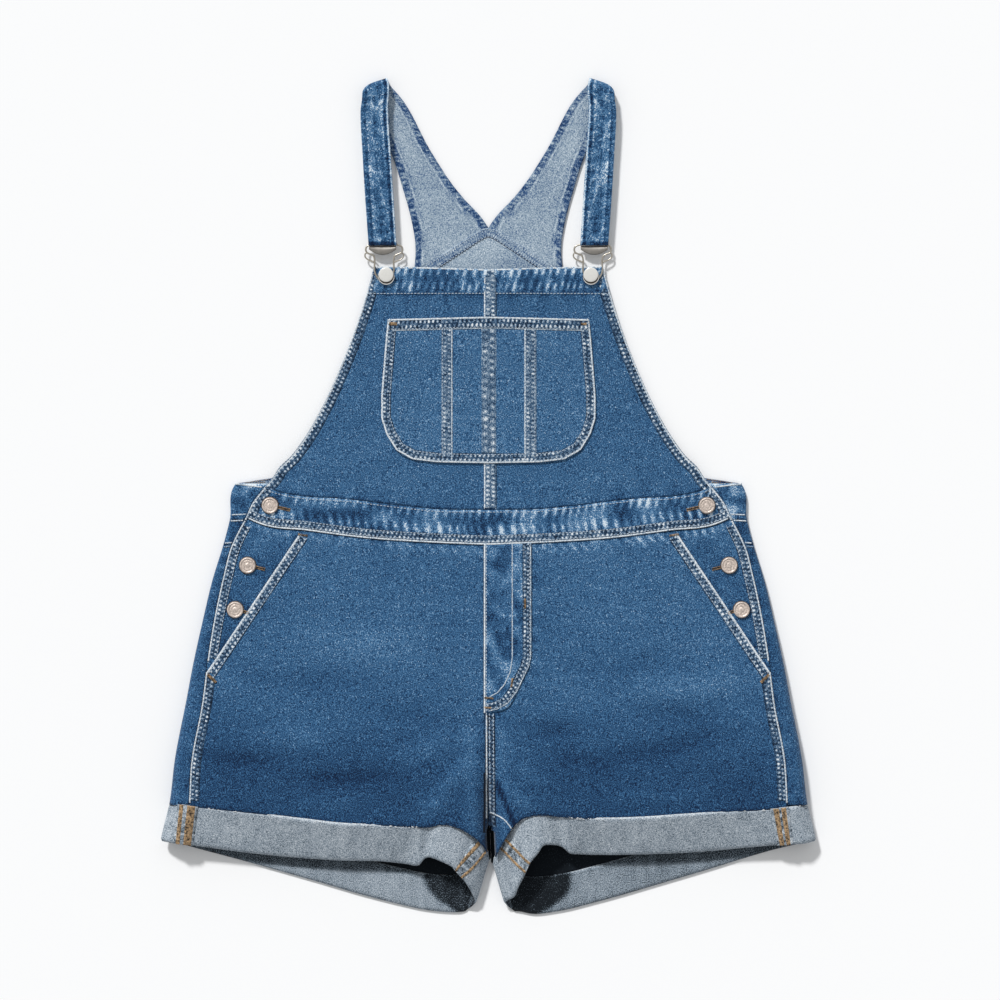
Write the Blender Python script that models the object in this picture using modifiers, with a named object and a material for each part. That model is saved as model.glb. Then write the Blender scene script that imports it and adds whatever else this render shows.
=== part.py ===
"""Denim shortalls laid flat, front up, on the surface they rest on.

The garment's length runs along Y, its width along X and up is +Z. Left and
right are the viewer's, looking down at the front. Sizes are in millimetres and
become metres in one place, where points and modifiers are made.

Each cloth piece is a grid of points over its outer face, with a wall added
inward. The front pieces lie on one soft dome, given by height(). The back
pieces start at the side seam on top, turn round the fold at the side and come
back under the dome, flat on the floor, to the middle.
"""
import math

import bmesh
import bpy
import numpy as np
from mathutils import Matrix, Vector

MM = 0.001
SEAM_GAP = 0.3
CUFF_GAP = 1.0
INSEAM_GAP = 4
CLOTH = 1.5
BAND = 2.5
STRAP = 2.0
CUFF_WALL = 3.5
BAND_LIFT = 1.0
FLY_CLOTH = 1.0
PASSES = 6
TINY = 0.001

# Half widths and heights of the body at a place y along it: the outer edge of
# the front pieces, the outline of the whole, and the dome's height at the
# side fold and at the middle.
FRONT_EDGE = (
    (229, 115), (203, 122), (173, 131.5), (125, 150), (86, 168), (51, 188.5),
    (36, 200), (26, 210.5), (16, 217), (4, 227.5), (-8, 236.5), (-21, 242.5),
    (-33, 249), (-50, 257), (-80, 265), (-115, 272.5), (-157, 279.5),
    (-209, 286), (-264, 296), (-307, 298.5))
OUTLINE = (
    (229, 122), (125, 157), (51, 197), (26, 240), (12.5, 253.5), (-24, 259.5),
    (-45.5, 265), (-87, 277.5), (-121, 285.5), (-169, 296), (-204, 302.5),
    (-264, 314), (-307.5, 319.3), (-346, 328))
SIDE_HEIGHT = (
    (229, 4), (96, 4), (26, 6), (12.5, 6), (-49, 8), (-124, 12), (-204, 17),
    (-284, 21), (-346, 22))
MIDDLE_HEIGHT = (
    (229, 7.5), (116, 9), (16, 11), (-49, 13.5), (-124, 18.5), (-204, 24),
    (-284, 28), (-346, 30))

# The front middle seam, which drifts to the side between the legs.
MIDDLE_SEAM = ((-220, -4), (-289, -1), (-330, 1), (-361, 2.5))
CROTCH_START = -240
CROTCH_END = -350
CROTCH_HEIGHT = 2.6
CROTCH_REACH = 22

# Cross edges: y at a distance x from the middle.
BIB_TOP = ((0, 227), (115, 230))
BAND_TOP = ((0, -14), (54, -13), (84, -10), (150, -2.5), (188, 0), (213, 5), (223, 8.4))
BAND_FOOT = ((0, -48.7), (63, -46), (125, -41.6), (181, -34.4), (228, -28), (243, -21.5))
BACK_BAND_TOP = ((0, 26), (150, 22), (217, 18), (253, 12.5))
BACK_BAND_FOOT = ((0, -11), (150, -15), (217, -19), (256, -24))
YOKE_FOOT = ((0, -80), (260, -49))
# Places in these tables, and in the cuffs', where the side strips on top take their heights.
BACK_BAND_TOP_SIDE = 253
BACK_BAND_FOOT_SIDE = 256
YOKE_SIDE = 260
CUFF_SIDE = 309
BACK_BIB_SIDE = ((224, 75), (196, 80), (146, 100), (96, 128), (56, 155), (18, 205))
V_SEAM = ((0, 270), (75, 224))

# The slanted front pocket runs from the waistband out to the side seam.
POCKET_START = (189.4, -38.5)
POCKET_END = (282.5, -178)

# The patch pocket on the bib, with round lower corners.
PATCH_TOP = ((0, 179.4), (101, 177))
PATCH_SIDE = ((177, 100.5), (139, 104), (101, 107), (33, 107))
PATCH_FOOT = ((0, 33), (51, 34), (76, 37), (92, 46), (102, 62), (107, 78))

# The fly flap, with the curve at its foot.
FLY_LEFT = -4.4
FLY_RIGHT = 43.4
FLY_FOOT = ((-4.4, -217), (5, -215.5), (21, -209), (29, -196), (36, -177), (43.4, -159))

# Straps, one row across the strap each: inner edge x and y, outer edge x and y.
STRAP_BACK = (
    (0.3, 269.7, 75, 224.3), (10, 284, 72.5, 248), (21, 294, 75, 266), (31, 306, 80, 289),
    (41, 319, 86.5, 310), (51, 335, 92.5, 331), (61, 351, 98.5, 346), (69, 367, 106, 364),
    (77, 383, 113.5, 383), (87, 400, 121, 397))
STRAP_FOLD = (99.8, 413.5, 127, 405)
STRAP_FRONT = ((100.5, 390, 128, 385), (98, 345, 126, 342), (95, 298, 123.3, 297), (92, 251, 120, 251))
FOLD_RADIUS = 6.0
FOLD_AIM = (0.28, 0.96)
STRAP_END_HEIGHT = 10.3

# Turned up cuffs, one row across the band each, going from the outer side
# along the front to the inner side and home along the floor:
# upper edge x, y, z and hem x, y, z.
CUFF_LEFT = (
    (-319.5, -307.5, 10.5, -328, -345, 11), (-310, -307.5, 21.5, -317, -346.5, 20),
    (-288, -310, 23.5, -292, -350, 19), (-238, -315, 25.5, -240, -357.5, 19),
    (-188, -321, 28, -188, -362.5, 20), (-143, -326, 29.5, -143, -365.3, 21),
    (-103, -327.5, 30, -106, -366, 21.5), (-78, -328.7, 30, -84, -368.5, 21),
    (-66, -329.3, 28, -69.5, -369, 22), (-58, -329, 27, -62.5, -361, 24),
    (-50, -327, 28, -54, -361.5, 28), (-44, -326.6, 28, -45, -365, 28),
    (-35, -328.3, 28, -38, -368.5, 27), (-19.5, -335.4, 25, -31, -376, 25),
    (-8, -344.6, 20, -22, -386.6, 21), (-2, -352.5, 15, -16.5, -396, 16),
    (1.5, -362, 7.5, -12.5, -408, 8), (-5, -372, 0, -20, -415, 0),
    (-28, -379, 0, -29, -417.5, 0), (-65, -378, 0, -65, -415, 0),
    (-88, -373, 0, -88, -410, 0), (-120, -365, 0, -120, -402, 0),
    (-175, -349, 0, -175, -386, 0), (-219, -336.5, 0, -219, -373.5, 0),
    (-255, -326.5, 0, -255, -363.5, 0), (-291, -317, 0, -291, -354, 0),
    (-309, -309, 0, -317, -347, 0))
CUFF_RIGHT = (
    (319.5, -308, 10.5, 328, -345, 11), (310, -309, 21.5, 317.5, -347, 20),
    (280.5, -312, 24, 291.5, -349, 19), (244.5, -314, 25.5, 255, -352.5, 19),
    (201.5, -316.5, 27.5, 211.5, -356.5, 20), (156.5, -319.5, 29, 161.5, -358.7, 21),
    (116.5, -320.8, 30, 115.5, -359.5, 21.5), (91, -320.4, 29.5, 91.5, -359, 21.5),
    (77.5, -319.3, 28, 80.5, -357, 21.5), (68, -318.5, 27, 72.5, -350.5, 22),
    (56.5, -317.4, 28, 64, -348, 25), (48, -317.4, 28, 55, -348.6, 28),
    (41, -318.5, 28, 49.5, -356, 28), (31.5, -322.5, 27, 41.5, -366, 27),
    (24.5, -329.2, 25, 35.5, -379, 25), (17, -340, 21, 28.5, -392.5, 21),
    (9.5, -353, 15, 25, -401, 16), (4, -366, 7.5, 16, -408, 8),
    (10, -374, 0, 24, -416, 0), (28, -380, 0, 32, -417, 0),
    (45, -382, 0, 45, -419.5, 0), (68, -380, 0, 68, -417, 0),
    (112, -369.5, 0, 112, -406.5, 0), (176, -351, 0, 176, -388, 0),
    (223, -337, 0, 223, -374, 0), (255, -327, 0, 255, -364, 0),
    (290, -317, 0, 290, -354, 0), (309, -309, 0, 317, -348, 0))
CUFF_FRONT_ROWS = {-1: 17, 1: 18}

# Grid columns on top and to the end of the side fold, the power that draws
# columns together towards the fold and the crotch, and how far above the
# slanted opening's end the hip piece stops.
BACK_COLUMNS = 17
TOP_COLUMNS = 2
FOLD_COLUMNS = 8
BACK_EASE = 1.6
LEG_EASE = 1.8
HIP_END = 12

# Metal: tack buttons and the wire buckles on the bib.
BUTTON_RADIUS = 8.15
SIDE_BUTTONS = {"waist": (218.7, -9.6), "hip_upper": (241, -69.5), "hip_lower": (253.2, -113.8)}
BIB_BUTTON = (102.5, 221.4)
BIB_BUTTON_BASE = 8.2
BIB_BUTTON_TILT = 6.0
SHANK_RADIUS = 2.6
BUCKLE_X = 104.5
BUCKLE_HEIGHT = 6.6
WIRE = 2.2
WIRE_HALF = (
    (14, 251.5), (17.2, 250.2), (18.5, 247), (17.2, 243.8), (14, 242.5), (11, 241),
    (9.6, 237), (9.6, 232), (9.8, 227), (8, 221), (4.5, 217), (0, 215.5))
SLIDER = (27, 5.6, 1.0)
SLIDER_Y = 247.6
SLIDER_Z = 8.4

DENIM = (0.075, 0.165, 0.33)
DENIM_DEEP = (0.05, 0.12, 0.25)
WRONG_SIDE = (0.30, 0.37, 0.44)
NICKEL = (0.62, 0.58, 0.54)


def look(name, colour, roughness, metallic):
    """A plain Principled material."""
    material = bpy.data.materials.new(name)
    material.use_nodes = True
    shader = material.node_tree.nodes["Principled BSDF"]
    shader.inputs["Base Color"].default_value = (*colour, 1)
    shader.inputs["Roughness"].default_value = roughness
    shader.inputs["Metallic"].default_value = metallic
    return material


def read(table, at):
    """The value at a place in a table of (place, value), straight between rows."""
    places, values = zip(*sorted(table))
    return float(np.interp(at, places, values))


def blend(a, b, share):
    """The value a given share of the way from a to b."""
    return a + (b - a) * share


def crotch(x, y):
    """How far the front drops towards the floor beside the seam between the legs."""
    down = min(max((CROTCH_START - y) / (CROTCH_START - CROTCH_END), 0), 1)
    down = down * down * (3 - 2 * down)
    aside = min(abs(x - read(MIDDLE_SEAM, y)) / CROTCH_REACH, 1)
    return down * (1 - math.sqrt(1 - (1 - aside) ** 2))


def height(x, y):
    """Height of the front's outer face: a dome, with the drop at the crotch."""
    side = read(SIDE_HEIGHT, y)
    middle = read(MIDDLE_HEIGHT, y)
    width = read(OUTLINE, y) - side / 2
    dome = side + (middle - side) * (1 - (x / width) ** 2)
    return dome - (dome - CROTCH_HEIGHT) * crotch(x, y)


def pocket_line(y):
    """Distance of the slanted pocket opening from the middle."""
    share = (y - POCKET_START[1]) / (POCKET_END[1] - POCKET_START[1])
    return blend(POCKET_START[0], POCKET_END[0], share)


def add_sheet(name, material, surface, columns, rows, wall, flip=False, closed=False):
    """A cloth piece: a grid over its outer face, and the wall inside it."""
    bm = bmesh.new()
    bmesh.ops.create_grid(bm, x_segments=columns, y_segments=rows, size=1)
    for vert in bm.verts:
        point = surface((vert.co.x + 1) / 2, (vert.co.y + 1) / 2)
        vert.co = Vector(point) * MM
    if closed:
        bmesh.ops.remove_doubles(bm, verts=bm.verts, dist=0.01 * MM)
    if flip:
        bmesh.ops.reverse_faces(bm, faces=bm.faces)
    mesh = bpy.data.meshes.new(name)
    bm.to_mesh(mesh)
    bm.free()
    mesh.shade_smooth()
    mesh.materials.append(material)
    sheet = bpy.data.objects.new(name, mesh)
    garment.objects.link(sheet)
    solidify = sheet.modifiers.new("Wall", "SOLIDIFY")
    solidify.thickness = wall * MM
    solidify.offset = -1
    return sheet


def between(left, right, low, high, lift=0, ease=lambda share: share):
    """A surface on the dome between two side edges, x at y, and two cross edges, y at x."""
    def surface(u, v):
        y = (low(0) + high(0)) / 2
        for _ in range(PASSES):
            x = blend(left(y), right(y), ease(u))
            y = blend(low(x), high(x), v)
        return x, y, height(x, y) + lift
    return surface


def round_the_side(side, seam, low, high, columns):
    """A surface from the seam on top round the side fold to the middle of the back."""
    on_top, in_fold = TOP_COLUMNS / columns, FOLD_COLUMNS / columns

    def surface(u, v):
        y = -100
        for _ in range(PASSES):
            radius = read(SIDE_HEIGHT, y) / 2
            turn = read(OUTLINE, y) - radius
            if u < on_top:
                x = blend(seam(y), turn, u / on_top)
                z = height(x, y)
            elif u < in_fold:
                angle = math.pi * (u - on_top) / (in_fold - on_top)
                x = turn + radius * math.sin(angle)
                z = radius + radius * math.cos(angle)
            else:
                middle = side * max(read(MIDDLE_SEAM, y), 0) + SEAM_GAP / 2
                x = blend(middle, turn, ((1 - u) / (1 - in_fold)) ** BACK_EASE)
                z = 0
            under = u > in_fold - TINY
            y = blend(low(x, under), high(x, under), v)
        return side * x, y, z
    return surface


def front_outer(y):
    """Where a front leg ends: at the pocket opening, then at the side seam."""
    if y < POCKET_END[1]:
        return read(FRONT_EDGE, y)
    return min(read(FRONT_EDGE, y), pocket_line(y))


def cuff_edge(side, front):
    """The upper edge of a cuff as (x, y) rows, of its front or of its back."""
    rows = CUFF_LEFT if side < 0 else CUFF_RIGHT
    count = CUFF_FRONT_ROWS[side]
    part = rows[:count] if front else rows[count - 1:]
    return [(row[0], row[1]) for row in part]


def add_fronts():
    """The two front legs, from the waistband to the cuffs."""
    for side, name in SIDES:
        upper = cuff_edge(side, True)

        def low(x):
            return read(upper, x) + CUFF_GAP * (1 + INSEAM_GAP * math.exp(-(x / CROTCH_REACH) ** 2))

        def high(x):
            return read(BAND_FOOT, abs(x)) - SEAM_GAP

        def middle(y):
            return read(MIDDLE_SEAM, y) + side * SEAM_GAP / 2

        def outer(y):
            return side * (front_outer(y) - SEAM_GAP / 2)

        if side < 0:
            surface = between(outer, middle, low, high, 0, lambda u: 1 - (1 - u) ** LEG_EASE)
        else:
            surface = between(middle, outer, low, high, 0, lambda u: u ** LEG_EASE)
        add_sheet(f"front_{name}", denim, surface, 18, 16, CLOTH)


def add_hips():
    """The pieces behind the slanted pockets, which carry the side buttons."""
    for side, name in SIDES:
        def inner(y):
            return side * (pocket_line(y) + SEAM_GAP / 2)

        def outer(y):
            return side * read(FRONT_EDGE, y)

        edges = (outer, inner) if side < 0 else (inner, outer)
        surface = between(*edges, lambda x: POCKET_END[1] + HIP_END,
                          lambda x: read(BAND_FOOT, abs(x)) - 3 * SEAM_GAP)
        add_sheet(f"hip_{name}", denim_deep, surface, 4, 8, CLOTH)


def add_bib():
    """The bib, its patch pocket, the front waistband and the fly."""
    def left(y):
        return -read(FRONT_EDGE, y)

    def right(y):
        return read(FRONT_EDGE, y)

    bib = between(left, right, lambda x: read(BAND_TOP, abs(x)) + SEAM_GAP,
                  lambda x: read(BIB_TOP, abs(x)))
    add_sheet("bib", denim, bib, 18, 18, CLOTH)
    band = between(left, right, lambda x: read(BAND_FOOT, abs(x)),
                   lambda x: read(BAND_TOP, abs(x)), BAND_LIFT)
    add_sheet("waistband_front", denim, band, 26, 3, BAND)
    patch = between(lambda y: -read(PATCH_SIDE, y), lambda y: read(PATCH_SIDE, y),
                    lambda x: read(PATCH_FOOT, abs(x)), lambda x: read(PATCH_TOP, abs(x)),
                    CLOTH + SEAM_GAP, lambda u: 0.5 - 0.5 * math.cos(math.pi * u))
    add_sheet("bib_pocket", denim, patch, 20, 8, CLOTH)
    fly = between(lambda y: FLY_LEFT, lambda y: FLY_RIGHT, lambda x: read(FLY_FOOT, x),
                  lambda x: read(BAND_FOOT, abs(x)) - SEAM_GAP, FLY_CLOTH + SEAM_GAP)
    add_sheet("fly", denim, fly, 6, 10, FLY_CLOTH)


def add_backs():
    """The back legs, the yokes over them and the back waistband."""
    def seam(y):
        return read(FRONT_EDGE, y) + 2 * SEAM_GAP

    def yoke_foot(x, under):
        return read(YOKE_FOOT, x if under else YOKE_SIDE)

    def band_foot(x, under):
        return read(BACK_BAND_FOOT, x if under else BACK_BAND_FOOT_SIDE)

    def band_top(x, under):
        return read(BACK_BAND_TOP, x if under else BACK_BAND_TOP_SIDE)

    for side, name in SIDES:
        lower = cuff_edge(side, False)

        def cuff(x, under):
            if under:
                return read(lower, side * x) + 1.5 * CUFF_GAP
            return read(lower, side * CUFF_SIDE) + 3 * CUFF_GAP

        leg = round_the_side(side, seam, cuff,
                             lambda x, under: yoke_foot(x, under) - SEAM_GAP, BACK_COLUMNS)
        add_sheet(f"back_{name}", denim_deep, leg, BACK_COLUMNS, 12, CLOTH, flip=side < 0)
        yoke = round_the_side(side, seam, yoke_foot,
                              lambda x, under: band_foot(x, under) - SEAM_GAP, BACK_COLUMNS)
        add_sheet(f"yoke_{name}", denim_deep, yoke, BACK_COLUMNS, 3, CLOTH, flip=side < 0)

    left = round_the_side(-1, seam, band_foot, band_top, BACK_COLUMNS)
    right = round_the_side(1, seam, band_foot, band_top, BACK_COLUMNS)

    def whole_band(u, v):
        if abs(u - 0.5) < TINY:
            return 0, blend(band_foot(0, True), band_top(0, True), v), 0
        return left(2 * u, v) if u < 0.5 else right(2 - 2 * u, v)

    add_sheet("waistband_back", denim_deep, whole_band, 2 * BACK_COLUMNS, 5, BAND, flip=True)


def add_back_bib():
    """The back bib, flat on the floor between the back waistband and the straps."""
    def surface(u, v):
        across = 2 * u - 1
        y = 100
        for _ in range(PASSES):
            x = across * read(BACK_BIB_SIDE, y)
            low = read(BACK_BAND_TOP, abs(x)) + SEAM_GAP
            y = blend(low, read(V_SEAM, abs(x)) - 2 * SEAM_GAP, v)
        return x, y, 0

    add_sheet("back_bib", wrong_side, surface, 12, 8, CLOTH, flip=True)


def strap_rows():
    """Rows across a strap, from the back bib over the fold and down to the buckle."""
    rows = [(*row, 0) for row in STRAP_BACK]
    ax, ay = FOLD_AIM
    for step in range(7):
        angle = math.pi * step / 6
        out = FOLD_RADIUS * (math.sin(angle) - 1) + FOLD_RADIUS
        x0, y0, x1, y1 = STRAP_FOLD
        rise = FOLD_RADIUS * (1 - math.cos(angle))
        rows.append((x0 + ax * out, y0 + ay * out, x1 + ax * out, y1 + ay * out, rise))
    for step, row in enumerate(STRAP_FRONT):
        share = (step + 1) / len(STRAP_FRONT)
        rows.append((*row, blend(2 * FOLD_RADIUS, STRAP_END_HEIGHT, share)))
    return rows


def add_straps():
    """The straps, each one length of cloth from the back bib to its buckle."""
    rows = strap_rows()
    for side, name in SIDES:
        def surface(u, v):
            x0, y0, x1, y1, z = rows[round(v * (len(rows) - 1))]
            return side * blend(x0, x1, u), blend(y0, y1, u), z

        add_sheet(f"strap_{name}", denim, surface, 4, len(rows) - 1, STRAP, flip=side > 0)


def add_cuffs():
    """The turned up cuffs, closed rings round the leg openings."""
    for side, name in SIDES:
        table = CUFF_LEFT if side < 0 else CUFF_RIGHT
        count = len(table)

        def surface(u, v):
            row = table[round(u * count) % count]
            return tuple(blend(row[3 + axis], row[axis], v) for axis in range(3))

        add_sheet(f"cuff_{name}", wrong_side, surface, count, 2, CUFF_WALL,
                  flip=side > 0, closed=True)


def add_button(name, x, y, base, shank, tilt):
    """A tack button, turned: a rimmed cap and the shank under it."""
    r = BUTTON_RADIUS
    foot = SHANK_RADIUS if shank else 0.6 * r
    profile = [(0, 2.5), (0.68 * r, 2.4), (0.77 * r, 3.1), (0.93 * r, 2.7), (r, 1.7),
               (0.9 * r, 0.5), (foot, 0)]
    if shank:
        profile.append((foot, -shank))
    profile.append((0, -shank))
    mesh = bpy.data.meshes.new(name)
    points = [(MM * px, 0, MM * pz) for px, pz in profile]
    mesh.from_pydata(points, [(i, i + 1) for i in range(len(points) - 1)], [])
    mesh.materials.append(nickel)
    button = bpy.data.objects.new(name, mesh)
    garment.objects.link(button)
    screw = button.modifiers.new("Turn", "SCREW")
    screw.steps = 16
    screw.render_steps = 16
    screw.use_merge_vertices = True
    screw.merge_threshold = 0.00005
    screw.use_smooth_shade = True
    button.location = Vector((x, y, base)) * MM
    button.rotation_euler = (math.radians(tilt), 0, 0)


def add_buttons():
    """Six side buttons on the plackets and two on the bib, standing on shanks."""
    for side, name in SIDES:
        for place, (x, y) in SIDE_BUTTONS.items():
            lift = BAND_LIFT if place == "waist" else 0
            base = height(x, y) + lift + 2 * SEAM_GAP
            add_button(f"button_{place}_{name}", side * x, y, base, 0, 0)
        x, y = BIB_BUTTON
        shank = BIB_BUTTON_BASE - height(x, y) - 2 * SEAM_GAP
        add_button(f"button_bib_{name}", side * x, y, BIB_BUTTON_BASE, shank, BIB_BUTTON_TILT)


def add_buckles():
    """The wire buckles round the bib buttons, and the plates at the strap ends."""
    ring = list(WIRE_HALF) + [(-x, y) for x, y in reversed(WIRE_HALF) if x > 0]
    for side, name in SIDES:
        curve = bpy.data.curves.new(f"buckle_{name}", "CURVE")
        curve.dimensions = "3D"
        curve.bevel_depth = WIRE / 2 * MM
        curve.bevel_resolution = 2
        spline = curve.splines.new("POLY")
        spline.points.add(len(ring) - 1)
        for point, (x, y) in zip(spline.points, ring):
            point.co = (MM * (side * BUCKLE_X + x), MM * y, MM * BUCKLE_HEIGHT, 1)
        spline.use_cyclic_u = True
        curve.materials.append(nickel)
        garment.objects.link(bpy.data.objects.new(f"buckle_{name}", curve))

        bpy.ops.mesh.primitive_cube_add(size=1)
        plate = bpy.context.object
        plate.name = f"slider_{name}"
        plate.data.transform(Matrix.Diagonal((*(size * MM for size in SLIDER), 1)))
        plate.location = Vector((side * (BUCKLE_X + 1.5), SLIDER_Y, SLIDER_Z)) * MM
        plate.data.materials.append(nickel)
        for old in list(plate.users_collection):
            old.objects.unlink(plate)
        garment.objects.link(plate)


for leftover in list(bpy.data.objects):
    bpy.data.objects.remove(leftover)
garment = bpy.data.collections.new("shortalls")
bpy.context.scene.collection.children.link(garment)
SIDES = ((-1, "left"), (1, "right"))
denim = look("denim", DENIM, 0.85, 0)
denim_deep = look("denim_deep", DENIM_DEEP, 0.88, 0)
wrong_side = look("denim_wrong_side", WRONG_SIDE, 0.9, 0)
nickel = look("nickel", NICKEL, 0.3, 1)
add_fronts()
add_hips()
add_bib()
add_backs()
add_back_bib()
add_straps()
add_cuffs()
add_buttons()
add_buckles()
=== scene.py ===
# %% [markdown]
# # Denim shortalls, laid flat
# These are blue denim dungaree shorts on a white floor, front up and seen from
# straight above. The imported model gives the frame: every piece below is a finer
# surface on the same form. Left and right are the viewer's, Y runs up the
# garment and Z out of its front. All tables are in millimetres.

# %% Load the frame
import math

import bmesh
import bpy
import numpy as np
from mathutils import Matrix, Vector


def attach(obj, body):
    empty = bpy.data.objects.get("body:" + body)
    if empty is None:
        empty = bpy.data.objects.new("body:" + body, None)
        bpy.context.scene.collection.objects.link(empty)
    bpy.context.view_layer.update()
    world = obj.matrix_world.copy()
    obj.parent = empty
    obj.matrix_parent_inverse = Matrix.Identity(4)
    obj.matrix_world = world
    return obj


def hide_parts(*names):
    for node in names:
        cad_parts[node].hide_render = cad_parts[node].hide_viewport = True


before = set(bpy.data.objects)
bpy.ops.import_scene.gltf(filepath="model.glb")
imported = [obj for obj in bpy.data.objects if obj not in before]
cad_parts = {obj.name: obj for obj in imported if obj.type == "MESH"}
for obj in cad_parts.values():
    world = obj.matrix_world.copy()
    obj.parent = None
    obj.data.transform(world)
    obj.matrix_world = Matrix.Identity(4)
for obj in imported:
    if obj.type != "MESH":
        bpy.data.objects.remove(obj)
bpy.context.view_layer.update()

MM = 0.001
print("frame:", len(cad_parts), "nodes")

# %% [markdown]
# ## The form
# The garment is a soft low dome on the floor. A few short tables give its half
# widths and heights at places along it. A smooth curve is laid through each
# table, so the outlines have no corners where rows meet.

# %% Tables of the form
FRONT_EDGE = (
    (229, 115), (203, 122), (173, 131.5), (125, 150), (86, 168), (51, 188.5),
    (36, 200), (26, 210.5), (16, 217), (4, 227.5), (-8, 236.5), (-21, 242.5),
    (-33, 249), (-50, 257), (-80, 265), (-115, 272.5), (-157, 279.5),
    (-209, 286), (-264, 296), (-307, 298.5))
OUTLINE = (
    (229, 122), (125, 157), (51, 197), (26, 240), (12.5, 253.5), (-24, 259.5),
    (-45.5, 265), (-87, 277.5), (-121, 285.5), (-169, 296), (-204, 302.5),
    (-264, 314), (-307.5, 319.3), (-346, 328))
SIDE_HEIGHT = (
    (229, 4), (96, 4), (26, 6), (12.5, 6), (-49, 8), (-124, 12), (-204, 17),
    (-284, 21), (-346, 22))
MIDDLE_HEIGHT = (
    (229, 7.5), (116, 9), (16, 11), (-49, 13.5), (-124, 18.5), (-204, 24),
    (-284, 28), (-346, 30))
MIDDLE_SEAM = ((-220, -4), (-289, -1), (-330, 1), (-361, 2.5))
BIB_TOP = ((0, 227), (60, 229), (115, 230))
BAND_TOP = ((0, -14), (54, -13), (84, -10), (150, -2.5), (188, 0), (213, 5), (223, 8.4))
BAND_FOOT = ((0, -48.7), (63, -46), (125, -41.6), (181, -34.4), (228, -28), (243, -21.5))
BACK_BAND_TOP = ((0, 26), (150, 22), (217, 18), (253, 12.5))
BACK_BAND_FOOT = ((0, -11), (150, -15), (217, -19), (256, -24))
YOKE_FOOT = ((0, -80), (260, -49))
BACK_BIB_SIDE = ((224, 75), (196, 80), (146, 100), (96, 128), (56, 155), (18, 205))
POCKET_START = (189.4, -38.5)
POCKET_END = (282.5, -178)
CROTCH_START = -240
CROTCH_END = -350
CROTCH_HEIGHT = 2.6
CROTCH_REACH = 22
CLOTH = 1.5
BAND = 2.5
BAND_LIFT = 1.0
PATCH_LIFT = 1.8
FLY_LIFT = 1.3
SIDES = ((-1, "left"), (1, "right"))


# %% Smooth curves through a table
def curve(table, at):
    """Cubic through the rows: each stretch leaves and meets a row at the mean slope there."""
    rows = np.array(table, float)
    place, value = rows[rows[:, 0].argsort()].T
    at = np.clip(at, place[0], place[-1])
    slope = np.gradient(value, place)
    i = np.clip(np.searchsorted(place, at) - 1, 0, len(place) - 2)
    step = place[i + 1] - place[i]
    t = (at - place[i]) / step
    rise = (1 + 2 * t) * (1 - t) ** 2 * value[i] + t ** 2 * (3 - 2 * t) * value[i + 1]
    return rise + step * (t * (1 - t) ** 2 * slope[i] - t ** 2 * (1 - t) * slope[i + 1])


def line(table, at):
    """Straight between the rows of a table."""
    rows = np.array(table, float)
    place, value = rows[rows[:, 0].argsort()].T
    return np.interp(at, place, value)


def mix(a, b, share):
    """The value a given share of the way from a to b."""
    return a + (b - a) * share


def ease(share):
    """0 to 1 with a level start and end."""
    share = np.clip(share, 0, 1)
    return share * share * (3 - 2 * share)


# %% [markdown]
# ### Uneven things
# Puckers, wear and creases are never regular. Value noise gives them: random
# numbers on a lattice, blended smoothly between its points. The seed is fixed,
# so every run makes the same cloth.

# %% Value noise
LATTICE = np.random.default_rng(17).random((4, 256, 256))


def noise(x, y, size_x, size_y, seed=0):
    """Random heights from 0 to 1 on lattice points size_x and size_y apart, eased between them."""
    x = np.asarray(x, float) / size_x + 91.7 * seed + 1000
    y = np.asarray(y, float) / size_y + 37.3 * seed + 1000
    i, j = np.floor(x).astype(int), np.floor(y).astype(int)
    s, t = ease(x - i), ease(y - j)
    grid = LATTICE[seed % 4]
    i0, i1, j0, j1 = i % 256, (i + 1) % 256, j % 256, (j + 1) % 256
    low = mix(grid[i0, j0], grid[i1, j0], s)
    high = mix(grid[i0, j1], grid[i1, j1], s)
    return mix(low, high, t)


# %% [markdown]
# ### Creases
# Laid out cloth keeps a few long shallow waves. Each row below is one soft
# trough or ridge: where it runs from and to, its half width and its height. The
# legs have the most, lying across them, and a few fan out from the crotch.

# %% The main creases
CREASES = (
    (-278, -262, -205, -264, 9, -1.5), (-190, -281, -92, -279, 9, -1.5),
    (-236, -236, -150, -243, 11, 0.9), (-90, -262, -30, -240, 12, 1.1),
    (-250, -178, -120, -190, 14, -0.9), (-120, -212, -40, -222, 12, -0.8),
    (-180, -142, -60, -150, 18, 0.8), (-50, -300, -20, -262, 9, 1.6),
    (-70, -312, -38, -300, 10, 1.3), (-200, -306, -120, -302, 8, 0.7),
    (40, -236, 92, -232, 9, -1.3), (110, -262, 250, -238, 10, -1.2),
    (60, -255, 120, -268, 9, -1.0), (150, -214, 235, -222, 12, -1.0),
    (70, -172, 200, -168, 14, -0.8), (150, -196, 262, -186, 12, 0.8),
    (20, -290, 46, -312, 9, 1.5), (24, -262, 60, -290, 9, 1.0),
    (120, -300, 230, -296, 9, 0.7), (-150, 60, -110, 120, 16, 0.5),
    (110, 70, 150, 10, 16, 0.5), (-60, 10, 60, 14, 14, -0.5),
    (-196, -56, -170, -84, 7, 0.6), (196, -56, 172, -86, 7, 0.6))


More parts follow.
